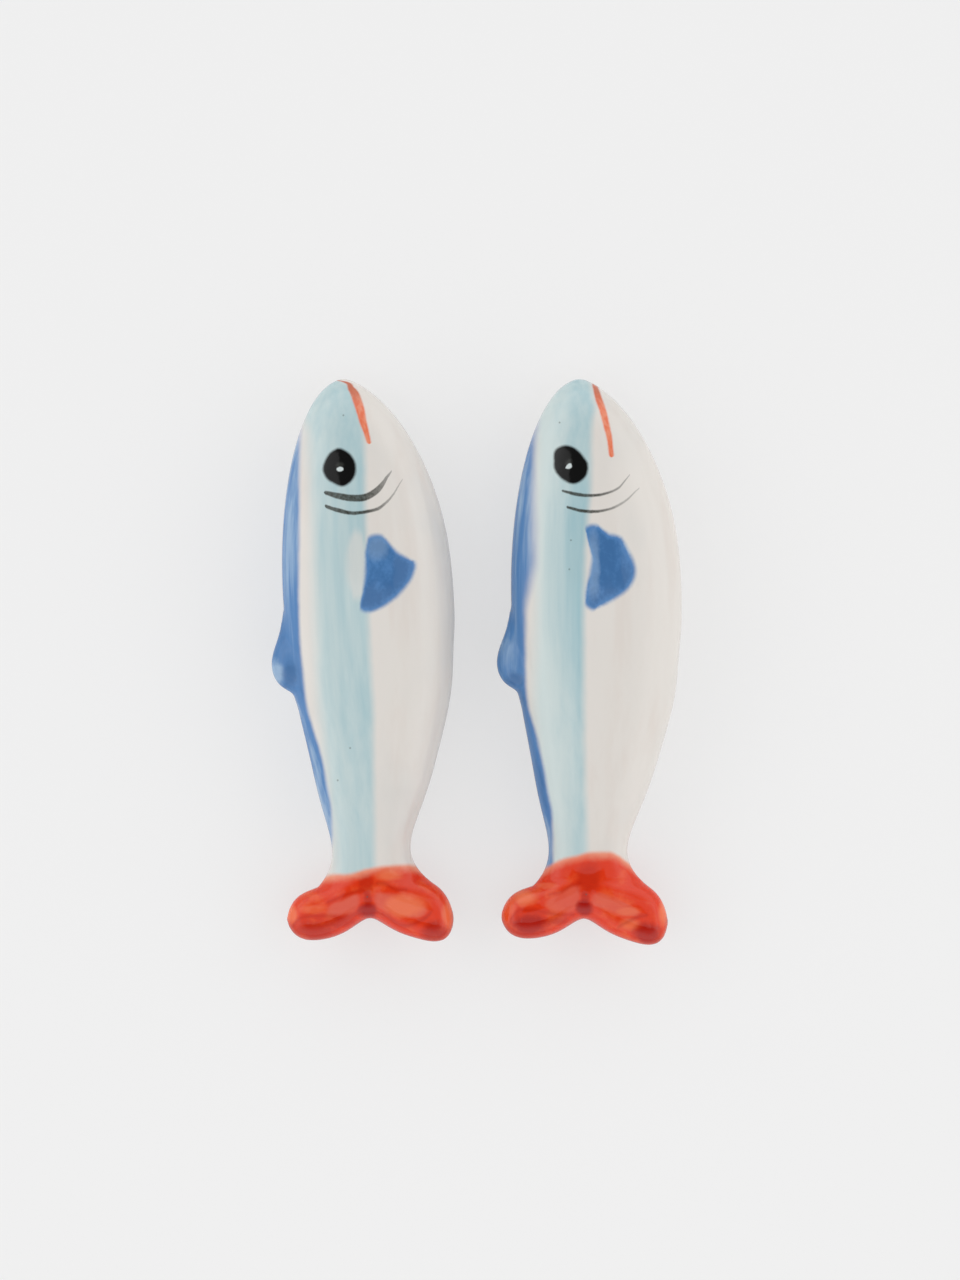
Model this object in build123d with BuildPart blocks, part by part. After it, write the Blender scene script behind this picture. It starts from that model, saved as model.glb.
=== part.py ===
from build123d import *

import os
from math import cos, radians, sin

os.makedirs("parts", exist_ok=True)

# A pair of fish-shaped chopstick rests in hand-painted, glazed earthenware.
# Frame: the table is Z = 0, the noses point along +Y and the backs face -X.
# In the frame of one rest, "across" runs from back (-) to belly (+) and
# "along" runs from the nose to the tail. All sizes are millimetres.

# Place of each rest on the table: its nose, and its lean in degrees
nose_y = 37.6
left_nose_x = -17.7
left_lean = 2.9
right_nose_x = 13.7
right_lean = 0.5

# Trunk along its length: the widest place, the narrow stem, and the root inside the tail
nose_to_widest = 28.0
nose_to_stem = 63.0
stem_to_root = 5.0

# Trunk across, from the nose line to the back and to the belly
back_reach = 9.4
belly_reach = 13.2
stem_back = 4.7
stem_belly = 5.8
root_back = 7.5
root_belly = 9.0

# Trunk heights above the table. The keel runs below it until the foot is cut flat.
nose_height = 5.4
crown_height = 14.2
keel_depth = 1.0
stem_crown = 8.2
stem_keel = 0.8
root_crown = 7.6
root_keel = 3.2

# How full the head is on its back, belly, crown and keel: 0.5 is an ellipse
back_head_fullness = 0.50
belly_head_fullness = 0.63
crown_head_fullness = 0.52
keel_head_fullness = 0.46

# How long the trunk holds its width behind the widest place, and how it settles to the stem
back_hold = 1.9
back_settle = 1.35
belly_hold = 2.6
belly_settle = 1.5
crown_hold = 2.1
crown_settle = 1.6

# Dorsal fin: a low lobe on the back that rises slowly and almost straight to its tip and drops off behind it
fin_tip_along = 37.6
fin_lead = 12.2
fin_ease = 1.1
fin_trail = 4.0
fin_root_across = -7.5
fin_reach = 3.85
fin_half_thickness = 2.8

# Tail: how far its two lobes reach, and where along the fish their tips lie
lobe_reach = 11.1
back_tip_along = 71.3
belly_tip_along = 72.2

# Tail across: the waist at the end of the stem, and a shoulder and a lobe on either side of it.
# Each section has its place as a share of the reach, its front and rear edge along, its top and its bottom.
waist = (0.0, 64.8, 71.7, 8.3, 1.6)
back_shoulder = (-0.325, 65.5, 73.35, 8.7, 1.8)
back_lobe = (-0.65, 67.3, 74.25, 8.1, 2.3)
belly_shoulder = (0.34, 65.3, 73.7, 8.9, 1.8)
belly_lobe = (0.70, 66.9, 75.1, 8.3, 2.3)

# Glaze over the clay, and the wiped band above the table that stays bare
glaze_thickness = 0.35
glaze_line = 0.6

# Sections of the lofted forms: head, trunk behind it, root, front and rear of the fin, and the end of a lobe
head_steps = 6
trunk_steps = 6
root_steps = 2
fin_lead_steps = 4
fin_trail_steps = 3
lobe_steps = 3

# Painted marks stay above this level. Paint outlines run past the rest by this margin.
mark_level = 4.8
paint_margin = 6.0

# Red of the tail: where its edge crosses the nose line, and how far it drops at the sides
left_tail_line = 64.7
right_tail_line = 62.8
tail_line_sag = 1.0
tail_line_half_width = 5.5

# Blue of the back: its inner edge from the head, past the dorsal fin, to the stem
back_stripe_head = (-5.9, 5.8)
back_stripe_middle = (-7.5, 36.0)
back_stripe_stem = (-4.2, 60.0)

# Turquoise of the flank: its edge towards the back, and its edge towards the belly
flank_start = 0.9
flank_back_across = -4.6
flank_back_stem_across = -3.6
flank_bend_along = 45.0
flank_belly_across = 1.6
flank_belly_along = 22.0
flank_belly_stem_across = 0.8

# Mouth: a brush stroke from the nose towards the gills
left_mouth_start = (-0.3, 0.7)
left_mouth_end = (2.9, 8.8)
right_mouth_start = (1.5, 0.7)
right_mouth_end = (3.9, 10.4)
mouth_bow = 0.4
mouth_width = 0.9

# Eye, and the glint in it
eye_centre = (-1.3, 11.5)
eye_half_width = 2.1
eye_half_length = 2.5
glint_radius = 0.5

# Gills: two brush strokes that curve up behind the eye, one behind the other
gill_start = (-3.0, 14.8)
gill_low = (1.0, 15.8)
gill_end = (6.0, 12.6)
gill_spacing = 1.9
front_gill_width = 0.7
rear_gill_width = 0.5

# Pectoral fin: a painted rounded triangle behind the gills
pectoral_corners = [(2.2, 20.1), (4.6, 21.0), (7.4, 25.6), (6.2, 28.2), (0.6, 30.6)]
pectoral_rounding = 0.7


def rest_frame(nose_x, lean):
    """Plane of one rest on the table, with its origin under the nose and the tail along -Y."""
    turned = (cos(radians(lean)), sin(radians(lean)), 0)
    return Plane(origin=(nose_x, nose_y, 0), x_dir=turned, z_dir=(0, 0, 1))


def place(frame, across, along, height):
    """Point of a rest in the frame of the pair."""
    return frame.from_local_coords(Vector(across, -along, height))


def oval(plane, half_width, half_height):
    """Elliptical section, split at its two widest points into an upper and a lower half."""
    with BuildSketch(plane) as section:
        with BuildLine():
            EllipticalCenterArc((0, 0), half_width, half_height, start_angle=0, arc_size=180)
            EllipticalCenterArc((0, 0), half_width, half_height, start_angle=180, arc_size=180)
        make_face()
    return section.sketch


def trunk_line(along, nose, widest, stem, root, fullness, hold, settle):
    """One outline of the trunk: a size that grows from the nose, falls to the stem and ends at the root."""
    if along < nose_to_widest:
        return nose + (widest - nose) * (1 - (1 - along / nose_to_widest) ** 2) ** fullness
    to_stem = min(1, (along - nose_to_widest) / (nose_to_stem - nose_to_widest))
    to_root = max(0, (along - nose_to_stem) / stem_to_root)
    return widest + (stem - widest) * (1 - (1 - to_stem**hold) ** settle) + (root - stem) * to_root**2


def trunk_loft(frame, inset):
    """Sections of the trunk from the nose to its root inside the tail."""
    turns = [radians(90 * i / head_steps) for i in range(1, head_steps + 1)]
    stations = [nose_to_widest * (1 - cos(turn)) for turn in turns]
    trunk_step = (nose_to_stem - nose_to_widest) / trunk_steps
    stations += [nose_to_widest + trunk_step * i for i in range(1, trunk_steps + 1)]
    stations += [nose_to_stem + stem_to_root * i / root_steps for i in range(1, root_steps + 1)]
    sections = [Vertex(*place(frame, 0, inset, nose_height))]
    for along in stations:
        back = trunk_line(
            along, 0, back_reach, stem_back, root_back, back_head_fullness, back_hold, back_settle
        )
        belly = trunk_line(
            along, 0, belly_reach, stem_belly, root_belly, belly_head_fullness, belly_hold, belly_settle
        )
        crown = trunk_line(
            along, nose_height, crown_height, stem_crown, root_crown, crown_head_fullness, crown_hold, crown_settle
        )
        keel = trunk_line(
            along, nose_height, -keel_depth, stem_keel, root_keel, keel_head_fullness, crown_hold, crown_settle
        )
        drawn_in = along + inset * max(0, 1 - along / nose_to_widest)
        centre = place(frame, (belly - back) / 2, drawn_in, (crown + keel) / 2)
        plane = Plane(origin=centre, x_dir=frame.x_dir, z_dir=-frame.y_dir)
        sections.append(oval(plane, (belly + back) / 2 - inset, (crown - keel) / 2 - inset))
    return sections


def fin_loft(frame, inset):
    """Sections of the dorsal fin from its front to its rear, both buried in the trunk."""
    height = (crown_height - keel_depth) / 2
    front = fin_tip_along - fin_lead + inset
    rear = fin_tip_along + fin_trail - inset
    stations = []
    for i in range(1, fin_lead_steps + 1):
        share = i / fin_lead_steps
        stations.append((front + (fin_tip_along - front) * share, 1 - (1 - share) ** fin_ease))
    for i in range(1, fin_trail_steps):
        turn = radians(90 * i / fin_trail_steps)
        stations.append((fin_tip_along + (rear - fin_tip_along) * sin(turn), cos(turn)))
    sections = [Vertex(*place(frame, fin_root_across, front, height))]
    for along, size in stations:
        centre = place(frame, fin_root_across, along, height)
        plane = Plane(origin=centre, x_dir=frame.x_dir, z_dir=-frame.y_dir)
        sections.append(oval(plane, (fin_reach - inset) * size, (fin_half_thickness - inset) * size))
    sections.append(Vertex(*place(frame, fin_root_across, rear, height)))
    return sections


def lobe_end(lobe, end, tip_along):
    """Sections that round a lobe off on its way to its tip, which is at one end of the tail."""
    share, front, rear, top, bottom = lobe
    along, height = (front + rear) / 2, (top + bottom) / 2
    sections = []
    for i in range(1, lobe_steps):
        turn = radians(90 * i / lobe_steps)
        swept = along + (tip_along - along) * sin(turn)
        half_length = (rear - front) / 2 * cos(turn)
        half_height = (top - bottom) / 2 * cos(turn)
        out = share + (end - share) * sin(turn)
        sections.append((out, swept - half_length, swept + half_length, height + half_height, height - half_height))
    return sections


def tail_loft(frame, inset):
    """Sections of the tail from the tip of the back's lobe, over the waist, to the tip of the belly's lobe."""
    reach = lobe_reach - inset
    stations = lobe_end(back_lobe, -1, back_tip_along)[::-1]
    stations += [back_lobe, back_shoulder, waist, belly_shoulder, belly_lobe]
    stations += lobe_end(belly_lobe, 1, belly_tip_along)
    sections = [Vertex(*place(frame, -reach, back_tip_along, (back_lobe[3] + back_lobe[4]) / 2))]
    for share, front, rear, top, bottom in stations:
        centre = place(frame, share * reach, (front + rear) / 2, (top + bottom) / 2)
        plane = Plane(origin=centre, x_dir=frame.y_dir, z_dir=frame.x_dir)
        sections.append(oval(plane, (rear - front) / 2 - inset, (top - bottom) / 2 - inset))
    sections.append(Vertex(*place(frame, reach, belly_tip_along, (belly_lobe[3] + belly_lobe[4]) / 2)))
    return sections


def cast_rest(frame, inset, floor):
    """Trunk, dorsal fin and tail of one rest as one casting, drawn in by the inset and cut flat at the floor."""
    with BuildPart() as casting:
        loft(sections=trunk_loft(frame, inset))
        loft(sections=fin_loft(frame, inset))
        loft(sections=tail_loft(frame, inset))
        split(bisect_by=Plane.XY.offset(floor), keep=Keep.TOP)
    return casting.part


def plan(across, along):
    """Point in the plan of a rest."""
    return (across, -along)


def painted_block(outline):
    """Upright block over a plan outline, up to above the crown."""
    with BuildPart() as block:
        extrude(outline, amount=crown_height + 2 * paint_margin, dir=(0, 0, 1))
    return block.part


def brush_stroke(plane, start, middle, end, width):
    """Stroke that is widest in the middle and runs out to a point at both ends."""
    heading = Vector(*plan(*end)) - Vector(*plan(*start))
    half = heading.normalized().rotate(Axis.Z, 90) * (width / 2)
    with BuildSketch(plane) as stroke:
        with BuildLine():
            ThreePointArc(plan(*start), Vector(*plan(*middle)) + half, plan(*end))
            ThreePointArc(plan(*end), Vector(*plan(*middle)) - half, plan(*start))
        make_face()
    return stroke.sketch


def mouth_middle(start, end):
    """Middle of the mouth stroke, bowed towards the belly."""
    return ((start[0] + end[0]) / 2 + mouth_bow, (start[1] + end[1]) / 2)


def tail_outline(plane, tail_line):
    """Everything behind the curved edge of the red."""
    side_along = tail_line + tail_line_sag
    far_across = lobe_reach + paint_margin
    far_along = max(back_lobe[2], belly_lobe[2]) + paint_margin
    edge = [(-tail_line_half_width, side_along), (0, tail_line), (tail_line_half_width, side_along)]
    with BuildSketch(plane) as outline:
        with BuildLine():
            ThreePointArc(*[plan(*point) for point in edge])
            Polyline(
                plan(*edge[2]),
                plan(far_across, side_along),
                plan(far_across, far_along),
                plan(-far_across, far_along),
                plan(-far_across, side_along),
                plan(*edge[0]),
            )
        make_face()
    return outline.sketch


def back_outline(plane):
    """Everything on the back's side of the blue's inner edge."""
    far_across = fin_root_across - fin_reach - paint_margin
    end = (back_stripe_stem[0], back_tip_along)
    with BuildSketch(plane) as outline:
        with BuildLine():
            Spline(plan(*back_stripe_head), plan(*back_stripe_middle), plan(*back_stripe_stem))
            Polyline(
                plan(*back_stripe_stem),
                plan(*end),
                plan(far_across, end[1]),
                plan(far_across, back_stripe_head[1]),
                plan(*back_stripe_head),
            )
        make_face()
    return outline.sketch


def flank_outline(plane, mouth_start, mouth_end):
    """Band from the nose to the tail, with the mouth along its edge on the head."""
    with BuildSketch(plane) as outline:
        with BuildLine():
            ThreePointArc(
                plan(*mouth_start), plan(*mouth_middle(mouth_start, mouth_end)), plan(*mouth_end)
            )
            Polyline(
                plan(*mouth_end),
                plan(flank_belly_across, flank_belly_along),
                plan(flank_belly_stem_across, back_tip_along),
                plan(flank_back_stem_across, back_tip_along),
                plan(flank_back_across, flank_bend_along),
                plan(flank_back_across, flank_start),
                plan(*mouth_start),
            )
        make_face()
    return outline.sketch


def eye_outline(plane):
    """Upright oval of the eye."""
    with BuildSketch(plane) as outline:
        with Locations(plan(*eye_centre)):
            Ellipse(eye_half_width, eye_half_length)
    return outline.sketch


def glint_outline(plane):
    """Round glint in the middle of the eye."""
    with BuildSketch(plane) as outline:
        with Locations(plan(*eye_centre)):
            Circle(glint_radius)
    return outline.sketch


def gill_outline(plane, behind, width):
    """One gill stroke, some way behind the front one."""
    points = [(across, along + behind) for across, along in (gill_start, gill_low, gill_end)]
    return brush_stroke(plane, *points, width)


def pectoral_outline(plane):
    """Rounded triangle of the pectoral fin."""
    with BuildSketch(plane) as outline:
        with BuildLine():
            Polyline(*[plan(*corner) for corner in pectoral_corners], close=True)
        make_face()
        fillet(outline.vertices(), pectoral_rounding)
    return outline.sketch


def keep_paint(shell, region, others):
    """The part of the glaze inside one painted region and outside the regions painted over it."""
    with BuildPart() as coat:
        add(shell)
        if region:
            add(region, mode=Mode.INTERSECT)
        for other in others:
            add(other, mode=Mode.SUBTRACT)
    return coat.part


def write_piece(piece, name):
    """Labels one piece and writes it to its own file."""
    piece.label = name
    export_step(piece, f"parts/{name}.step")


def build_rest(side, nose_x, lean, tail_line, mouth_start, mouth_end):
    """One rest: its clay body, the clear glaze, and each painted colour in the glaze."""
    frame = rest_frame(nose_x, lean)
    clay = cast_rest(frame, glaze_thickness, 0)
    with BuildPart() as shell:
        add(cast_rest(frame, 0, glaze_line))
        add(clay, mode=Mode.SUBTRACT)

    under = frame.offset(-paint_margin)
    upper = frame.offset(mark_level)
    mouth = brush_stroke(upper, mouth_start, mouth_middle(mouth_start, mouth_end), mouth_end, mouth_width)
    tail = painted_block(tail_outline(under, tail_line))
    back = painted_block(back_outline(under))
    flank = painted_block(flank_outline(upper, mouth_start, mouth_end))
    eye = painted_block(eye_outline(upper))
    glint = painted_block(glint_outline(upper))
    marks = {
        "mouth_line": painted_block(mouth),
        "front_gill_line": painted_block(gill_outline(upper, 0, front_gill_width)),
        "rear_gill_line": painted_block(gill_outline(upper, gill_spacing, rear_gill_width)),
        "pectoral_fin": painted_block(pectoral_outline(upper)),
    }
    over_flank = [tail, back, eye, *marks.values()]

    write_piece(clay, f"{side}_clay_body")
    write_piece(keep_paint(shell.part, None, [flank, *over_flank]), f"{side}_clear_glaze")
    write_piece(keep_paint(shell.part, tail, []), f"{side}_tail_coat")
    write_piece(keep_paint(shell.part, back, [tail]), f"{side}_back_stripe")
    write_piece(keep_paint(shell.part, flank, over_flank), f"{side}_flank_stripe")
    write_piece(keep_paint(shell.part, eye, [glint]), f"{side}_eye")
    write_piece(keep_paint(shell.part, glint, []), f"{side}_eye_glint")
    for name, region in marks.items():
        write_piece(keep_paint(shell.part, region, []), f"{side}_{name}")


build_rest("left", left_nose_x, left_lean, left_tail_line, left_mouth_start, left_mouth_end)
build_rest("right", right_nose_x, right_lean, right_tail_line, right_mouth_start, right_mouth_end)
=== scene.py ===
"""Looks of two fish-shaped chopstick rests: painted glaze on clay, a pale table, soft light and a camera."""

import logging
import math
from collections.abc import Callable
from dataclasses import dataclass, field
from enum import Enum
from typing import ClassVar

import bmesh
import bpy
import numpy as np
from mathutils import Matrix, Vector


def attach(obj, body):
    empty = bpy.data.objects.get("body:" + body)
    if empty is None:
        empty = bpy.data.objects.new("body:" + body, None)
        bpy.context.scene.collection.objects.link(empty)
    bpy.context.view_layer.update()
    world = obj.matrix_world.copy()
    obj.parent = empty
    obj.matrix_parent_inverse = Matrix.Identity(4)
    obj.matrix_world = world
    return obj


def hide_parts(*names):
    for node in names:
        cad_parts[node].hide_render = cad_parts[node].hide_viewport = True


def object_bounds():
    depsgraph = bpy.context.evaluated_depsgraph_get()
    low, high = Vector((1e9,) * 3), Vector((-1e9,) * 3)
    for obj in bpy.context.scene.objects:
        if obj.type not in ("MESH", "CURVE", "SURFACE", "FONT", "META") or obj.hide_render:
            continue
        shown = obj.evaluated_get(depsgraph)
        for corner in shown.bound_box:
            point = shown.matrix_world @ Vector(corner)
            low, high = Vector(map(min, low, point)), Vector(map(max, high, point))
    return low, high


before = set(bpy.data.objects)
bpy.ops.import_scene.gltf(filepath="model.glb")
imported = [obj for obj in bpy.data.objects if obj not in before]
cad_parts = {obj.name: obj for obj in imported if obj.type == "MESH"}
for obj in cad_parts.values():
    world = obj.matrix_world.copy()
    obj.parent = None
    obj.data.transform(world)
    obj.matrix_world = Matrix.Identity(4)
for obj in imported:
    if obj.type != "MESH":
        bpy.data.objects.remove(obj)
cad_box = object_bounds()

log = logging.getLogger("chopstick_rests")

MM = 0.001
HOLLOW = "hollow"

Point = tuple[float, float]
Colour = tuple[float, float, float, float]
Socket = bpy.types.NodeSocket
Feed = Socket | float
Field = Callable[[np.ndarray], np.ndarray]


class Sum(Enum):
    """Arithmetic that a Math node can do."""

    ADD = "ADD"
    SUBTRACT = "SUBTRACT"
    MULTIPLY = "MULTIPLY"
    DIVIDE = "DIVIDE"
    ABSOLUTE = "ABSOLUTE"
    MINIMUM = "MINIMUM"
    MAXIMUM = "MAXIMUM"
    ANGLE = "ARCTAN2"
    ROOT = "SQRT"


class Heading(Enum):
    """Way in which a brush stroke runs over the fish."""

    ACROSS = "across"
    ALONG = "along"


class Pigment(Enum):
    """Colours of the clay, the glaze and the underglaze paints, and a painted highlight and a painted shade
    on the tail, as 8-bit sRGB.
    """

    MILK = (223, 218, 212)
    BLUSH = (217, 207, 199)
    SHADE = (208, 208, 205)
    TURQUOISE = (146, 186, 196)
    TURQUOISE_WASH = (203, 216, 215)
    COBALT = (80, 128, 182)
    COBALT_DEEP = (64, 109, 160)
    COBALT_WASH = (150, 178, 207)
    LILAC = (178, 180, 202)
    INK = (11, 11, 11)
    INK_GREY = (78, 80, 76)
    GLINT = (206, 216, 216)
    OLIVE = (62, 64, 58)
    ORANGE = (228, 108, 66)
    ORANGE_PALE = (230, 138, 104)
    ORANGE_BROWN = (176, 92, 62)
    RED = (222, 54, 18)
    RED_DEEP = (164, 16, 6)
    RED_ORANGE = (230, 84, 42)
    RED_PALE = (238, 118, 78)
    # Painted highlight: pale patches that stand in for light reflected on the tail's lobes
    RED_PAINTED_HIGHLIGHT = (219, 96, 76)
    # Painted shade: darker red low down at the tail's rear rim
    RED_RIM_SHADE = (170, 60, 44)
    PEACH = (236, 160, 130)
    BISQUE = (214, 203, 184)
    BISQUE_DARK = (190, 176, 154)
    TABLE = (242, 242, 242)

    @property
    def linear(self) -> Colour:
        """The colour in linear light, by the sRGB formula, as Blender's shaders take it."""
        shares = [level / 255 for level in self.value]
        return (*[c / 12.92 if c <= 0.04045 else ((c + 0.055) / 1.055) ** 2.4 for c in shares], 1.0)


class Coat(Enum):
    """Painted or clear parts of the glaze: the node each stands for, and its material slot."""

    TAIL = ("tail_coat", "orange_red")
    GLINT = ("eye_glint", "milk_white_glaze")
    EYE = ("eye", "black")
    MOUTH = ("mouth_line", "orange_line")
    FRONT_GILL = ("front_gill_line", "olive_grey_line")
    REAR_GILL = ("rear_gill_line", "olive_grey_line")
    PECTORAL = ("pectoral_fin", "cobalt_blue")
    BACK = ("back_stripe", "cobalt_blue")
    FLANK = ("flank_stripe", "pale_turquoise")
    BELLY = ("clear_glaze", "milk_white_glaze")

    @property
    def node(self) -> str:
        """Node name without its side."""
        return self.value[0]

    @property
    def slot(self) -> str:
        """Material slot of the record."""
        return self.value[1]


@dataclass(frozen=True)
class PaintLine:
    """A hand-drawn line: an offset over a run, through given points and level past its ends."""

    points: tuple[Point, ...]

    def at(self, run: np.ndarray) -> np.ndarray:
        """Offsets of the line.

        Args:
            run: Places along the line's run.

        Returns:
            One offset for each place.
        """
        runs, offsets = zip(*self.points)
        return np.interp(run, runs, offsets)


@dataclass(frozen=True)
class Stroke:
    """A brush stroke: the points (across, along) of its middle and its width at each of them.

    A cap is a round end: shares of its reach, and of the half width that is left there.
    """

    CAP: ClassVar[tuple[Point, ...]] = ((0.38, 0.92), (0.7, 0.71), (0.92, 0.4), (1.0, 0.0))

    heading: Heading
    middle: tuple[Point, ...]
    widths: tuple[float, ...]
    run_out: float = 0.4
    steps: int = 25

    @staticmethod
    def _flow(runs: np.ndarray, knots: np.ndarray, values: np.ndarray) -> np.ndarray:
        """Smooth curve through given values.

        Args:
            runs: Places at which the curve is wanted.
            knots: Places of the given values, in rising order.
            values: The given values.

        Returns:
            The curve's value at each place.
        """
        slope = np.gradient(values, knots)
        i = np.clip(np.searchsorted(knots, runs, side="right") - 1, 0, len(knots) - 2)
        span = knots[i + 1] - knots[i]
        t = (runs - knots[i]) / span
        rise = values[i + 1] - values[i]
        turn = (1 - t) * (slope[i] * span - rise) - t * (slope[i + 1] * span - rise)
        return values[i] + t * rise + t * (1 - t) * turn

    def lines(self) -> tuple[PaintLine, PaintLine]:
        """The stroke's middle and its half width over its run.

        Returns:
            The middle line, and the half width measured square to the run, with round ends.
        """
        swap = self.heading is Heading.ALONG
        knots, sides = np.array([point[::-1] if swap else point for point in self.middle]).T
        runs = np.linspace(knots[0], knots[-1], self.steps)
        offsets = self._flow(runs, knots, sides)
        slope = np.gradient(offsets, runs)
        steep = np.sqrt(1 + slope**2)
        half = self._flow(runs, knots, np.array(self.widths)) / 2 * steep
        beyond, caps = [], []
        for end, way in ((0, -1), (-1, 1)):
            reach = half[end] / steep[end] ** 2
            past = way * (reach + self.run_out)
            beyond.append((runs[end] + past, offsets[end] + slope[end] * past))
            cap = [(runs[end] + way * reach * out, half[end] * left) for out, left in self.CAP]
            caps.append([*cap, (runs[end] + past, -self.run_out)])
        middle = (beyond[0], *zip(runs, offsets), beyond[1])
        widths = (*caps[0][::-1], *zip(runs, half), *caps[1])
        return PaintLine(middle), PaintLine(widths)

    def inside(self, across: np.ndarray, along: np.ndarray) -> np.ndarray:
        """How far points lie inside the stroke, in millimetres.

        Args:
            across: Places across the fish.
            along: Places along the fish.

        Returns:
            Positive depths inside the stroke and negative ones outside.
        """
        run, offset = (across, along) if self.heading is Heading.ACROSS else (along, across)
        middle, half = self.lines()
        return half.at(run) - np.abs(offset - middle.at(run))


@dataclass(frozen=True)
class Blob:
    """A closed brush mark around a centre (across, along), through points given from that centre."""

    OVAL_POINTS: ClassVar[int] = 8

    centre: Point
    outline: tuple[Point, ...]
    rounds: int = 6
    spokes: int = 48

    @classmethod
    def oval(cls, centre: Point, half_across: float, half_along: float) -> "Blob":
        """Plain oval mark.

        Args:
            centre: Its centre.
            half_across: Half its width.
            half_along: Half its length.

        Returns:
            The mark.
        """
        turns = [math.tau * i / cls.OVAL_POINTS for i in range(cls.OVAL_POINTS)]
        outline = tuple((half_across * math.cos(turn), half_along * math.sin(turn)) for turn in turns)
        return cls(centre, outline)

    def reach(self) -> PaintLine:
        """The mark's reach from its centre over the angle from the across direction.

        Returns:
            A line over the angles from -pi to pi.
        """
        knots = np.array(self.outline)
        shares = np.arange(self.rounds)[:, None] / self.rounds
        path = []
        for i in range(len(knots)):
            # A smooth curve from b to c, steered by the points before and after them
            a, b, c, d = (knots[(i + k) % len(knots)] for k in range(-1, 3))
            bend, twist = 2 * a - 5 * b + 4 * c - d, 3 * b - a - 3 * c + d
            path.append((2 * b + (c - a) * shares + bend * shares**2 + twist * shares**3) / 2)
        across, along = np.concatenate(path).T
        angles = np.linspace(-math.pi, math.pi, self.spokes + 1)
        reaches = np.interp(angles, np.arctan2(along, across), np.hypot(across, along), period=2 * math.pi)
        return PaintLine(tuple(zip(angles.tolist(), reaches.tolist())))

    def inside(self, across: np.ndarray, along: np.ndarray) -> np.ndarray:
        """How far points lie inside the mark, measured along the spokes.

        Args:
            across: Places across the fish.
            along: Places along the fish.

        Returns:
            Positive depths inside the mark and negative ones outside.
        """
        right, down = across - self.centre[0], along - self.centre[1]
        return self.reach().at(np.arctan2(down, right)) - np.hypot(right, down)


@dataclass(frozen=True)
class Wash:
    """An oval place (across, along) where paint lies thick or thin: its centre, half sizes and strength."""

    centre: Point
    half: Point
    share: float


@dataclass(frozen=True)
class Brushwork:
    """Everything painted on one rest, in millimetres across and along the fish."""

    blue_edge: PaintLine
    blue_softness: PaintLine
    blue_tone: PaintLine
    fin_thin: Wash
    fin_pool: Wash
    flank_tone: PaintLine
    flank_lean: float
    flank_back_edge: PaintLine
    flank_belly_edge: PaintLine
    tail_edge: PaintLine
    mouth: Stroke
    front_gill: Stroke
    rear_gill: Stroke
    eye: Blob
    glint: Blob
    pectoral: Blob
    pectoral_thin: Wash
    halo: Blob
    # Pale thin places in the glaze, and pale washes that add to the painted highlights
    tail_thin_and_highlights: tuple[Wash, ...]
    tail_pools: tuple[Wash, ...]
    tail_lines: tuple[Stroke, ...]
    # Painted highlights: patches of light reflected on the tail's lobes
    tail_painted_highlights: tuple[Blob, ...]
    painted_highlight_share: float
    pinholes_and_reflection: tuple[Point, ...]
    gill_fade: Point
    seed: float


@dataclass(frozen=True)
class RestPlace:
    """Where one rest lies on the table: its nose in millimetres and its lean in degrees."""

    side: str
    nose: Point
    lean: float

    @property
    def axes(self) -> tuple[Point, Point]:
        """Directions across and along the fish, in the plan of the pair."""
        turn = math.radians(self.lean)
        return (math.cos(turn), math.sin(turn)), (math.sin(turn), -math.cos(turn))

    def plan(self, points: np.ndarray) -> tuple[np.ndarray, np.ndarray]:
        """Places of points over the fish.

        Args:
            points: Points of the pair's frame in millimetres, one in each row.

        Returns:
            Their places across and along the fish.
        """
        across, along = self.axes
        from_nose = points[:, :2] - np.array(self.nose)
        return from_nose @ np.array(across), from_nose @ np.array(along)


@dataclass(frozen=True)
class Fade:
    """A smooth step: where it starts, where it is done and how much it then covers."""

    start: float
    end: float
    share: float = 1.0


@dataclass(frozen=True)
class Pattern:
    """A cloudy pattern: features to the unit on each axis, its part, its finer layers and their strength."""

    scale: tuple[float, float, float]
    part: float = 0.0
    detail: float = 2.0
    roughness: float = 0.5


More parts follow.
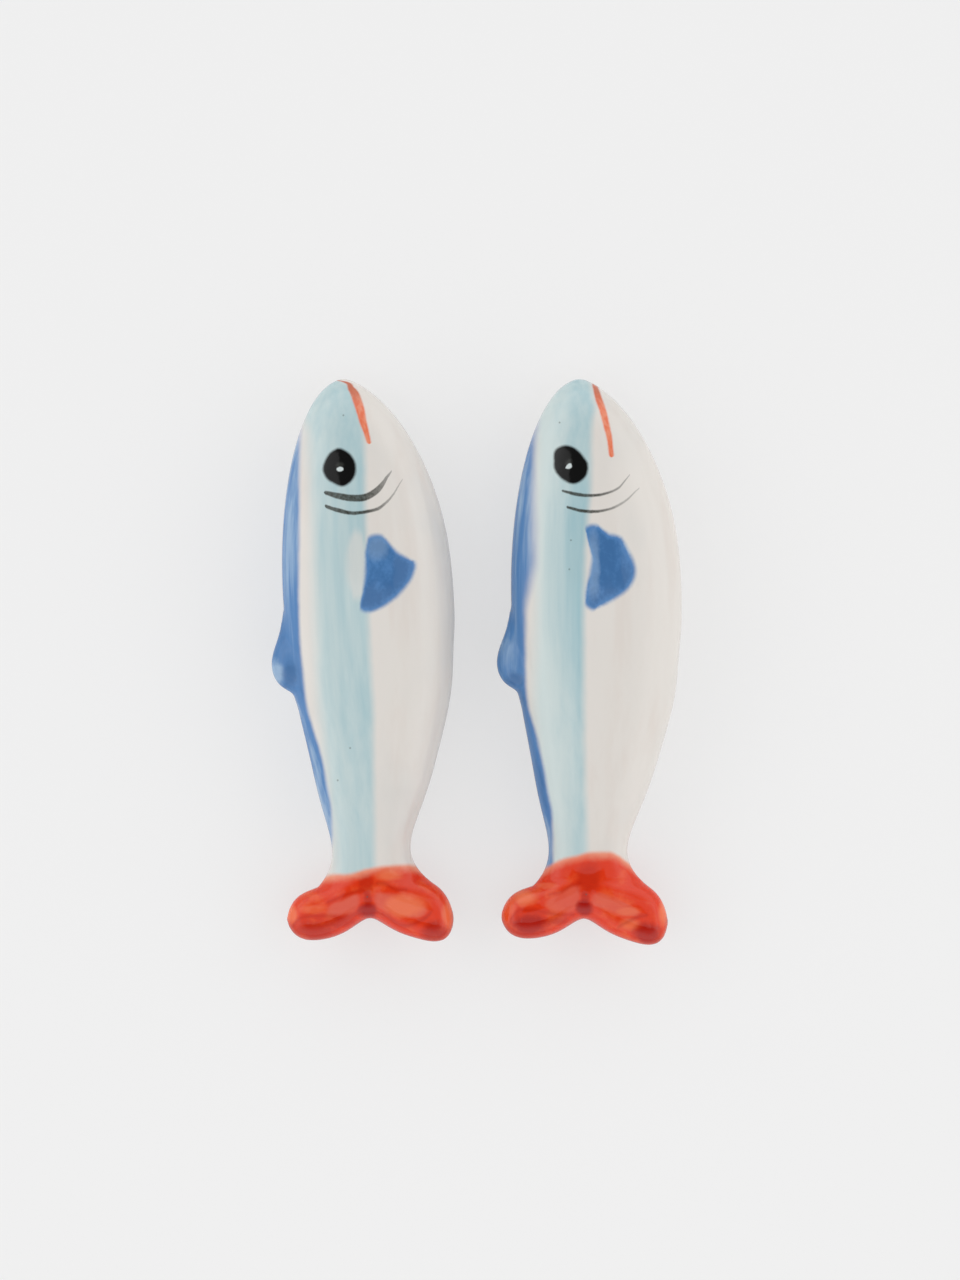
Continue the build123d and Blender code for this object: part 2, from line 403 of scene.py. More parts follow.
class ShaderBench:
    """Adds nodes to one material and joins them up."""

    def __init__(self, name: str) -> None:
        """Starts a material.

        Args:
            name: The material's name.
        """
        self.material = bpy.data.materials.new(name)
        self.material.use_nodes = True
        self.tree = self.material.node_tree
        self.shader = self.tree.nodes["Principled BSDF"]

    def feed(self, socket: Socket, value: Feed | Colour) -> None:
        """Joins a socket to another one, or sets its value.

        Args:
            socket: The input to fill.
            value: An output socket or a plain value.
        """
        if isinstance(value, bpy.types.NodeSocket):
            self.tree.links.new(value, socket)
        else:
            socket.default_value = value

    def sum(self, kind: Sum, *feeds: Feed) -> Socket:
        """One step of arithmetic.

        Args:
            kind: The arithmetic to do.
            feeds: Its inputs in order.

        Returns:
            The result.
        """
        node = self.tree.nodes.new("ShaderNodeMath")
        node.operation = kind.value
        for socket, value in zip(node.inputs, feeds):
            self.feed(socket, value)
        return node.outputs[0]

    def plus(self, first: Feed, second: Feed) -> Socket:
        """Two values added."""
        return self.sum(Sum.ADD, first, second)

    def minus(self, first: Feed, second: Feed) -> Socket:
        """The second value taken from the first."""
        return self.sum(Sum.SUBTRACT, first, second)

    def times(self, *feeds: Feed) -> Socket:
        """Product of several values.

        Args:
            feeds: Two or more values.

        Returns:
            Their product.
        """
        product = feeds[0]
        for value in feeds[1:]:
            product = self.sum(Sum.MULTIPLY, product, value)
        return product

    def squares(self, right: Socket, down: Socket) -> Socket:
        """Squared distance over two ways that are square to each other."""
        return self.plus(self.times(right, right), self.times(down, down))

    def swing(self, pattern: Socket, amount: float) -> Socket:
        """A pattern around 0.5 as a change around zero."""
        return self.times(self.minus(pattern, 0.5), amount)

    def rise(self, value: Feed, fade: Fade) -> Socket:
        """Smooth step.

        Args:
            value: The value that rises.
            fade: Where the step lies and how high it is.

        Returns:
            The step, between 0 and the fade's share.
        """
        node = self.tree.nodes.new("ShaderNodeMapRange")
        node.interpolation_type = "SMOOTHSTEP"
        self.feed(node.inputs["Value"], value)
        node.inputs["From Min"].default_value = fade.start
        node.inputs["From Max"].default_value = fade.end
        node.inputs["To Max"].default_value = fade.share
        return node.outputs["Result"]

    def follow(self, run: Feed, line: PaintLine, straight: bool = False) -> Socket:
        """Offset of a hand-drawn line.

        Args:
            run: Place along the line's run.
            line: The line to follow.
            straight: Whether the line runs straight from point to point instead of in a curve.

        Returns:
            The line's offset there.
        """
        node = self.tree.nodes.new("ShaderNodeFloatCurve")
        mapping = node.mapping
        mapping.use_clip = False
        mapping.extend = "HORIZONTAL"
        knots = mapping.curves[0].points
        knots[0].location = line.points[0]
        knots[1].location = line.points[-1]
        for point in line.points[1:-1]:
            knots.new(*point)
        for knot in knots:
            knot.handle_type = "VECTOR" if straight else "AUTO_CLAMPED"
        mapping.update()
        self.feed(node.inputs["Value"], run)
        return node.outputs["Value"]

    def noise(self, where: Socket, pattern: Pattern, seed: float = 0.0) -> Socket:
        """Value of a cloudy pattern.

        Args:
            where: Place in the pattern.
            pattern: The pattern.
            seed: How far the pattern is moved on.

        Returns:
            The value, about 0.5 in the middle.
        """
        place = self.tree.nodes.new("ShaderNodeVectorMath")
        place.operation = "MULTIPLY_ADD"
        self.feed(place.inputs[0], where)
        place.inputs[1].default_value = pattern.scale
        place.inputs[2].default_value = (seed + pattern.part,) * 3
        node = self.tree.nodes.new("ShaderNodeTexNoise")
        self.feed(node.inputs["Vector"], place.outputs["Vector"])
        node.inputs["Scale"].default_value = 1.0
        node.inputs["Detail"].default_value = pattern.detail
        node.inputs["Roughness"].default_value = pattern.roughness
        return node.outputs["Fac"]

    def mix(self, share: Feed, below: Socket | Pigment, above: Socket | Pigment) -> Socket:
        """One colour laid over another.

        Args:
            share: How much of the upper colour covers the lower one.
            below: The lower colour.
            above: The upper colour.

        Returns:
            The mixed colour.
        """
        node = self.tree.nodes.new("ShaderNodeMix")
        node.data_type = "RGBA"
        self.feed(node.inputs[0], share)
        # The node has sockets for other kinds of value before those for colours
        for socket, colour in ((node.inputs[6], below), (node.inputs[7], above)):
            self.feed(socket, colour.linear if isinstance(colour, Pigment) else colour)
        return node.outputs[2]

    def bump(self, height: Socket, depth: float) -> None:
        """Gives the shader a fine relief.

        Args:
            height: Relief between 0 and 1.
            depth: Full depth of the relief in metres.
        """
        node = self.tree.nodes.new("ShaderNodeBump")
        node.inputs["Strength"].default_value = 1.0
        node.inputs["Distance"].default_value = depth
        self.feed(node.inputs["Height"], height)
        self.feed(self.shader.inputs["Normal"], node.outputs["Normal"])

    def attribute(self, name: str) -> Socket:
        """Value that the mesh carries at each point.

        Args:
            name: The attribute's name.

        Returns:
            Its value.
        """
        node = self.tree.nodes.new("ShaderNodeAttribute")
        node.attribute_name = name
        return node.outputs["Fac"]

    def object_place(self) -> Socket:
        """Place on the piece in metres, which stays with the piece when it moves."""
        return self.tree.nodes.new("ShaderNodeTexCoord").outputs["Object"]


@dataclass(frozen=True)
class BisqueFinish:
    """Bare fired clay of the foot: chalky, with fine grog."""

    roughness: float = 0.88
    grain: Pattern = Pattern((2600.0, 2600.0, 2600.0), detail=4.0, roughness=0.6)
    grog: Fade = Fade(0.35, 0.7)
    grain_depth: float = 0.00004

    def build(self) -> bpy.types.Material:
        """Makes the material.

        Returns:
            The bare clay's material.
        """
        bench = ShaderBench("bare_clay")
        grain = bench.noise(bench.object_place(), self.grain)
        colour = bench.mix(bench.rise(grain, self.grog), Pigment.BISQUE, Pigment.BISQUE_DARK)
        bench.feed(bench.shader.inputs["Base Color"], colour)
        bench.shader.inputs["Roughness"].default_value = self.roughness
        bench.bump(grain, self.grain_depth)
        return bench.material


class PaintedGlaze(ShaderBench):
    """Underglaze paint of one rest with glossy glaze over it, each mark laid over the colour so far.

    Edges are in millimetres, a wash's edge is in shares of its half size, and a pinhole's size is in square
    millimetres. A pattern's scale is in features to the millimetre.
    """

    # Gloss, fine relief, pinholes of the glaze, and a painted reflection dot in the tail's groove
    gloss = 0.34
    roughness = 0.06
    roughness_cloud = Pattern((0.25, 0.25, 0.25), 11.0, 3.0)
    roughness_gain = 0.06
    peel = Pattern((0.55, 0.4, 0.55), 17.0, 1.0)
    peel_depth = 0.00003
    pit_size = Fade(0.03, 0.004)
    pit_and_reflection_share = 0.45
    pit_sink = 0.8

    # Wander of the hand, and the edges that all marks share
    hand_slow = Pattern((0.45, 0.45, 0.45), detail=1.0)
    hand_slow_reach = 0.2
    hand_quick = Pattern((3.2, 3.2, 3.2), detail=1.0)
    hand_quick_reach = 0.07
    hand_parts = (3.0, 29.0)
    mark_fade = 0.3
    wash_wander = 1.1
    wash_edge = Fade(1.15, 0.4)

    # Bare glaze
    blush_streaks = Pattern((0.35, 0.045, 0.35), 41.0, 3.0, 0.55)
    blush = Fade(0.42, 0.75, 0.5)
    shade_cloud = Pattern((0.12, 0.08, 0.12), 5.0)
    shade = Fade(0.5, 0.8, 0.4)

    # Turquoise flank
    flank_streaks = Pattern((0.8, 0.045, 0.8), 7.0, 3.0, 0.55)
    flank_spread = 0.55
    flank_middle = -1.5
    flank_lean_least = -0.5
    flank_lean_most = 0.1
    flank_strength = Fade(0.0, 1.0)
    flank_to_back = Fade(-1.6, 0.9)
    flank_to_belly = Fade(-0.7, 0.7)

    # Blue back
    back_streaks = Pattern((0.7, 0.045, 0.7), 19.0, 3.0, 0.55)
    back_spread = 1.3
    back_body = Fade(0.0, 0.55)
    back_deep = Fade(0.5, 1.15)
    back_cloud = Pattern((0.5, 0.5, 0.5), 23.0, 3.0, 0.6)
    back_hollow = Fade(0.02, 0.14, 0.35)
    back_fringe = Fade(1.5, -0.6, 0.45)
    back_head_end = Fade(10.0, 5.0, 0.7)
    back_edge = Fade(-1.0, 1.0)

    # Pectoral fin
    wiped_edge = Fade(-0.8, 0.9, 0.55)
    pectoral_thick = Fade(-0.8, 1.4)
    pectoral_cloud = Pattern((0.42, 0.26, 0.42), 71.0, 3.0, 0.6)
    pectoral_cloud_spread = 1.9
    pectoral_grain = Pattern((2.2, 2.2, 2.2), 75.0)
    pectoral_grain_spread = 0.6
    pectoral_body = Fade(-0.2, 0.5)
    pectoral_deep = Fade(0.45, 1.2)
    pectoral_edge = Fade(-0.42, 0.42)

    # Gill strokes
    gill_edge = Fade(-0.09, 0.13)
    gill_grain = Pattern((2.4, 2.4, 2.4), 83.0)
    gill_grain_gain = 0.4
    gill_least = 0.72
    front_gill_dry = 0.4675
    rear_gill_dry = 0.55

    # Eye
    eye_edge = Fade(-0.24, 0.24)
    breath_above = 0.55
    breath_edge = Fade(-0.3, 0.25, 0.35)
    glint_edge = Fade(-0.1, 0.1)

    # Mouth line
    mouth_edge = Fade(-0.14, 0.2, 0.96)
    mouth_grain = Pattern((1.6, 0.5, 1.6), 97.0)
    mouth_pale = Fade(0.4, 0.7)
    mouth_brown = Fade(4.6, 1.0, 0.75)
    mouth_start = Fade(-0.5, 0.3)
    nose_end = Fade(4.0, 2.0)
    mouth_reach = Fade(0.2, 0.8)

    # Red tail
    tail_cloud = Pattern((0.3, 0.3, 0.3), 53.0, 3.0, 0.6)
    tail_orange = Fade(0.48, 0.75)
    tail_ridge = Fade(-0.22, -0.5, 0.5)
    # Edge of the painted highlights on the tail
    highlight_start = -0.3
    highlight_end = 0.6
    # Painted shade low down at the tail's rear rim
    rim_shade_height = Fade(7.2, 5.2, 0.75)
    rim_shade_start = Fade(70.6, 72.2)
    tail_line = Fade(-0.5, 0.3, 0.45)
    fringe_cloud = 1.2
    tail_fringe = Fade(2.1, 0.5, 0.88)
    tail_edge = Fade(-0.25, 0.5)

    def __init__(self, place: RestPlace, work: Brushwork, mark_level: float) -> None:
        """Finds the shader's place over the fish, plain and with the wander of a hand-held brush.

        Args:
            place: Where the rest lies.
            work: What is painted on it.
            mark_level: Height in millimetres down to which marks are painted.
        """
        super().__init__(f"{place.side}_painted_glaze")
        self.work = work
        point = self.object_place()
        self.across, self.along = (self._from_nose(point, axis, place.nose) for axis in place.axes)
        split = self.tree.nodes.new("ShaderNodeSeparateXYZ")
        self.feed(split.inputs[0], point)
        self.height = self.times(split.outputs["Z"], 1 / MM)
        join = self.tree.nodes.new("ShaderNodeCombineXYZ")
        for socket, value in zip(join.inputs, (self.across, self.along, self.height)):
            self.feed(socket, value)
        self.where = join.outputs["Vector"]
        self.hand_across, self.hand_along = (
            self._unsteady(start, part) for start, part in zip((self.across, self.along), self.hand_parts)
        )
        self.upper = self.rise(self.height, Fade(mark_level - self.mark_fade, mark_level + self.mark_fade))
        self.hollow = self.attribute(HOLLOW)
        self.colour: Socket | Pigment = Pigment.MILK

    def build(self) -> bpy.types.Material:
        """Lays the paint and the glaze.

        Returns:
            The painted glaze of this rest.
        """
        self._ground()
        self._flank()
        self._back()
        self._pectoral()
        self._gills()
        self._eye()
        self._mouth()
        self._tail()
        pit_and_reflection_cover = self._pits()
        # Pinholes darken the colour, and so does the painted reflection dot in the tail's groove
        self._lay(self.times(pit_and_reflection_cover, self.pit_and_reflection_share), Pigment.INK_GREY)
        self.feed(self.shader.inputs["Base Color"], self.colour)
        self.shader.inputs["Specular IOR Level"].default_value = self.gloss
        cloud = self.times(self._cloud(self.roughness_cloud), self.roughness_gain)
        self.feed(self.shader.inputs["Roughness"], self.plus(cloud, self.roughness))
        relief = self.minus(self._cloud(self.peel), self.times(pit_and_reflection_cover, self.pit_sink))
        self.bump(relief, self.peel_depth)
        return self.material

    def _from_nose(self, point: Socket, axis: Point, nose: Point) -> Socket:
        """Way from the fish's nose along one direction.

        Args:
            point: Place on the piece in metres.
            axis: The direction in the plan.
            nose: The nose in millimetres.

        Returns:
            Millimetres from the nose.
        """
        dot = self.tree.nodes.new("ShaderNodeVectorMath")
        dot.operation = "DOT_PRODUCT"
        self.feed(dot.inputs[0], point)
        dot.inputs[1].default_value = (axis[0] / MM, axis[1] / MM, 0.0)
        return self.minus(dot.outputs["Value"], axis[0] * nose[0] + axis[1] * nose[1])

    def _unsteady(self, start: Socket, part: float) -> Socket:
        """A place moved by the wander of the hand.

        Args:
            start: Millimetres in one direction.
            part: Picks a part of the hand's patterns.

        Returns:
            The millimetres, changed a little.
        """
        seed = self.work.seed + part
        slow = self.swing(self.noise(self.where, self.hand_slow, seed), self.hand_slow_reach)
        quick = self.swing(self.noise(self.where, self.hand_quick, seed), self.hand_quick_reach)
        return self.plus(start, self.plus(slow, quick))

    def _cloud(self, pattern: Pattern) -> Socket:
        """Value of a pattern on this rest, about 0.5 in the middle."""
        return self.noise(self.where, pattern, self.work.seed)

    def _lay(self, share: Feed, paint: Socket | Pigment) -> None:
        """Lays a share of a paint over the colour so far."""
        self.colour = self.mix(share, self.colour, paint)

    def _tone(self, line: PaintLine, streaks: Pattern, spread: float) -> Socket:
        """Strength of a wash of paint, which changes along the fish and from streak to streak."""
        return self.plus(self.follow(self.along, line), self.swing(self._cloud(streaks), spread))

    def _wash(self, wash: Wash, across: Socket, along: Socket, cloud: Socket) -> Socket:
        """Cover of one thick or thin place in the paint, with a cloudy edge.

        Args:
            wash: The place.
            across: Millimetres across.
            along: Millimetres along.
            cloud: Cloudy pattern around 0.5.

        Returns:
            The cover, between 0 and the wash's strength.
        """
        right = self.times(self.minus(across, wash.centre[0]), 1 / wash.half[0])
        down = self.times(self.minus(along, wash.centre[1]), 1 / wash.half[1])
        away = self.sum(Sum.ROOT, self.squares(right, down))
        cover = self.rise(self.plus(away, self.swing(cloud, self.wash_wander)), self.wash_edge)
        return self.times(cover, wash.share)

    def _blob_depth(self, blob: Blob, across: Socket, along: Socket) -> Socket:
        """Depth inside a closed brush mark.

        Args:
            blob: The mark.
            across: Millimetres across.
            along: Millimetres along.

        Returns:
            Millimetres inside the mark's edge, negative outside.
        """
        right, down = self.minus(across, blob.centre[0]), self.minus(along, blob.centre[1])
        reach = self.follow(self.sum(Sum.ANGLE, down, right), blob.reach())
        return self.minus(reach, self.sum(Sum.ROOT, self.squares(right, down)))

    def _stroke_depth(self, stroke: Stroke, across: Socket, along: Socket) -> Socket:
        """Depth inside a brush stroke.

        Args:
            stroke: The stroke.
            across: Millimetres across.
            along: Millimetres along.

        Returns:
            Millimetres inside the stroke's edge, negative outside.
        """
        run, offset = (across, along) if stroke.heading is Heading.ACROSS else (along, across)
        middle, half = stroke.lines()
        aside = self.sum(Sum.ABSOLUTE, self.minus(offset, self.follow(run, middle)))
        return self.minus(self.follow(run, half, straight=True), aside)

    def _ground(self) -> None:
        """Lays faint warm streaks and grey clouds in the milk-white glaze."""
        self._lay(self.rise(self._cloud(self.blush_streaks), self.blush), Pigment.BLUSH)
        self._lay(self.rise(self._cloud(self.shade_cloud), self.shade), Pigment.SHADE)

    def _flank(self) -> None:
        """Lays a washed turquoise band along the flank."""
        from_back = self.minus(self.hand_across, self.follow(self.along, self.work.flank_back_edge))
        to_belly = self.minus(self.follow(self.along, self.work.flank_belly_edge), self.hand_across)
        tone = self._tone(self.work.flank_tone, self.flank_streaks, self.flank_spread)
        lean = self.times(self.minus(self.hand_across, self.flank_middle), self.work.flank_lean)
        lean = self.sum(Sum.MAXIMUM, lean, self.flank_lean_least)
        tone = self.plus(tone, self.sum(Sum.MINIMUM, lean, self.flank_lean_most))
        wash = self.mix(self.rise(tone, self.flank_strength), Pigment.TURQUOISE_WASH, Pigment.TURQUOISE)
        back, belly = self.rise(from_back, self.flank_to_back), self.rise(to_belly, self.flank_to_belly)
        self._lay(self.times(back, belly, self.upper), wash)

    def _back(self) -> None:
        """Lays cobalt on the back and dorsal fin, thin on the fin's edge and deep in the hollow beside it."""
        inner = self.minus(self.follow(self.along, self.work.blue_edge), self.hand_across)
        depth = self.sum(Sum.DIVIDE, inner, self.follow(self.along, self.work.blue_softness))
        tone = self._tone(self.work.blue_tone, self.back_streaks, self.back_spread)
        blue = self.mix(self.rise(tone, self.back_body), Pigment.COBALT_WASH, Pigment.COBALT)
        blue = self.mix(self.rise(tone, self.back_deep), blue, Pigment.COBALT_DEEP)
        cloud = self._cloud(self.back_cloud)
        thin = self._wash(self.work.fin_thin, self.hand_across, self.along, cloud)
        blue = self.mix(thin, blue, Pigment.COBALT_WASH)
        pool = self._wash(self.work.fin_pool, self.hand_across, self.along, cloud)
        pool = self.sum(Sum.MAXIMUM, pool, self.rise(self.hollow, self.back_hollow))
        blue = self.mix(pool, blue, Pigment.COBALT_DEEP)
        blue = self.mix(self.rise(depth, self.back_fringe), blue, Pigment.LILAC)
        blue = self.mix(self.rise(self.along, self.back_head_end), blue, Pigment.LILAC)
        self._lay(self.rise(depth, self.back_edge), blue)

    def _pectoral(self) -> None:
        """Lays the blue pectoral fin, with a wiped pale patch beside it."""
        hand = self.hand_across, self.hand_along
        wiped = self.rise(self._blob_depth(self.work.halo, *hand), self.wiped_edge)
        self._lay(self.times(wiped, self.upper), Pigment.MILK)
        depth = self._blob_depth(self.work.pectoral, *hand)
        cloud = self._cloud(self.pectoral_cloud)
        grain = self._cloud(self.pectoral_grain)
        tone = self.rise(depth, self.pectoral_thick)
        tone = self.plus(tone, self.swing(cloud, self.pectoral_cloud_spread))
        tone = self.plus(tone, self.swing(grain, self.pectoral_grain_spread))
        blue = self.mix(self.rise(tone, self.pectoral_body), Pigment.COBALT_WASH, Pigment.COBALT)
        blue = self.mix(self.rise(tone, self.pectoral_deep), blue, Pigment.COBALT_DEEP)
        thin = self._wash(self.work.pectoral_thin, *hand, cloud)
        blue = self.mix(thin, blue, Pigment.COBALT_WASH)
        self._lay(self.times(self.rise(depth, self.pectoral_edge), self.upper), blue)

    def _gills(self) -> None:
        """Lays the two grey gill strokes, which run dry towards the belly."""
        grain = self.plus(self.times(self._cloud(self.gill_grain), self.gill_grain_gain), self.gill_least)
        strokes = (self.work.front_gill, self.front_gill_dry), (self.work.rear_gill, self.rear_gill_dry)
        for stroke, dry in strokes:
            depth = self._stroke_depth(stroke, self.hand_across, self.hand_along)
            left = self.minus(1.0, self.rise(self.hand_across, Fade(*self.work.gill_fade, dry)))
            cover = self.times(self.rise(depth, self.gill_edge), self.upper, left, grain)
            self._lay(self.sum(Sum.MINIMUM, cover, 1.0), Pigment.OLIVE)

    def _eye(self) -> None:
        """Lays the black eye with a light dot and a grey breath of paint above the dot."""
        above = self.plus(self.hand_along, self.breath_above)
        for blob, along, edge, pigment in (
            (self.work.eye, self.hand_along, self.eye_edge, Pigment.INK),
            (self.work.glint, above, self.breath_edge, Pigment.INK_GREY),
            (self.work.glint, self.hand_along, self.glint_edge, Pigment.GLINT),
        ):
            cover = self.rise(self._blob_depth(blob, self.hand_across, along), edge)
            self._lay(self.times(cover, self.upper), pigment)

    def _mouth(self) -> None:
        """Lays the orange mouth line, brownish at the nose, where it runs down over the edge."""
        depth = self._stroke_depth(self.work.mouth, self.hand_across, self.along)
        grain = self._cloud(self.mouth_grain)
        orange = self.mix(self.rise(grain, self.mouth_pale), Pigment.ORANGE, Pigment.ORANGE_PALE)
        orange = self.mix(self.rise(self.along, self.mouth_brown), orange, Pigment.ORANGE_BROWN)
        cover = self.times(self.rise(depth, self.mouth_edge), self.rise(self.along, self.mouth_start))
        low = self.rise(self.plus(self.upper, self.rise(self.along, self.nose_end)), self.mouth_reach)
        self._lay(self.times(cover, low), orange)

    def _tail(self) -> None:
        """Lays the tail's orange red, peach at its edge, with painted highlights on the lobes, pale places,
        pools, painted shade low at the rear rim and dark stroke edges.
        """
        work, place = self.work, (self.across, self.hand_along)
        depth = self.minus(self.hand_along, self.follow(self.across, work.tail_edge))
        cloud = self._cloud(self.tail_cloud)
        red = self.mix(self.rise(cloud, self.tail_orange), Pigment.RED, Pigment.RED_ORANGE)
        red = self.mix(self.rise(self.hollow, self.tail_ridge), red, Pigment.RED_ORANGE)
        highlight_edge = Fade(self.highlight_start, self.highlight_end, work.painted_highlight_share)
        # Painted highlights: pale patches where light is reflected on the lobes
        for blob in work.tail_painted_highlights:
            red = self.mix(self.rise(self._blob_depth(blob, *place), highlight_edge), red, Pigment.RED_PAINTED_HIGHLIGHT)
        # Pale thin places, one of them part of a painted highlight, and deep pools
        for washes, pigment in ((work.tail_thin_and_highlights, Pigment.RED_PALE), (work.tail_pools, Pigment.RED_DEEP)):
            for wash in washes:
                red = self.mix(self._wash(wash, *place, cloud), red, pigment)
        # Painted shade: the red darker low down at the tail's rear rim
        low = self.rise(self.height, self.rim_shade_height)
        rim = self.times(low, self.rise(self.hand_along, self.rim_shade_start))
        red = self.mix(rim, red, Pigment.RED_RIM_SHADE)
        for stroke in work.tail_lines:
            line = self.rise(self._stroke_depth(stroke, *place), self.tail_line)
            red = self.mix(line, red, Pigment.RED_DEEP)
        thin = self.plus(depth, self.times(cloud, self.fringe_cloud))
        red = self.mix(self.rise(thin, self.tail_fringe), red, Pigment.PEACH)
        self._lay(self.rise(depth, self.tail_edge), red)

    def _pits(self) -> Socket:
        """Pinholes that the glaze left in firing, and a painted reflection: a dark dot in the tail's groove.

        Returns:
            1 in a pinhole and 0 elsewhere.
        """
        pit_and_reflection_cover: Feed = 0.0
        for across, along in self.work.pinholes_and_reflection:
            away = self.squares(self.minus(self.across, across), self.minus(self.along, along))
            pit_and_reflection_cover = self.sum(Sum.MAXIMUM, pit_and_reflection_cover, self.rise(away, self.pit_size))
        return self.times(pit_and_reflection_cover, self.upper)


def put_in_scene(name: str, data: bpy.types.ID) -> bpy.types.Object:
    """Puts a mesh, a lamp or a camera in the scene.

    Args:
        name: Name of the new object.
        data: The mesh, the lamp or the camera.

    Returns:
        The new object.
    """
    thing = bpy.data.objects.new(name, data)
    bpy.context.scene.collection.objects.link(thing)
    return thing


def face_centres(skin: bmesh.types.BMesh) -> np.ndarray:
    """Middles of a mesh's facets, one in each row."""
    return np.array([face.calc_center_median() for face in skin.faces])


def store_hollows(mesh: bpy.types.Mesh, hollows: np.ndarray) -> None:
    """Keeps with each point of a mesh how hollow it is there, for the glaze's shader."""
    mesh.attributes.new(HOLLOW, "FLOAT", "POINT").data.foreach_set("value", hollows)


def cut_along(skin: bmesh.types.BMesh, depth: Field, nearest: float = 0.08) -> None:
    """Adds a line of edges to a mesh where a field changes its sign.

    Args:
        skin: The mesh to cut.
        depth: The field at given points.
        nearest: How near to the end of an edge a cut may come, as a share of the edge.
    """
    skin.verts.index_update()
    skin.edges.ensure_lookup_table()
    values = depth(np.array([vert.co for vert in skin.verts]))
    ends = np.array([[vert.index for vert in edge.verts] for edge in skin.edges])
    first, second = values[ends[:, 0]], values[ends[:, 1]]
    crossed = np.nonzero((first > 0) != (second > 0))[0]
    shares = np.clip(first[crossed] / (first[crossed] - second[crossed]), nearest, 1 - nearest)
    found = [(skin.edges[i], skin.edges[i].verts[0], share) for i, share in zip(crossed, shares)]
    made = [bmesh.utils.edge_split(edge, start, share)[1] for edge, start, share in found]
    bmesh.ops.connect_verts(skin, verts=made)


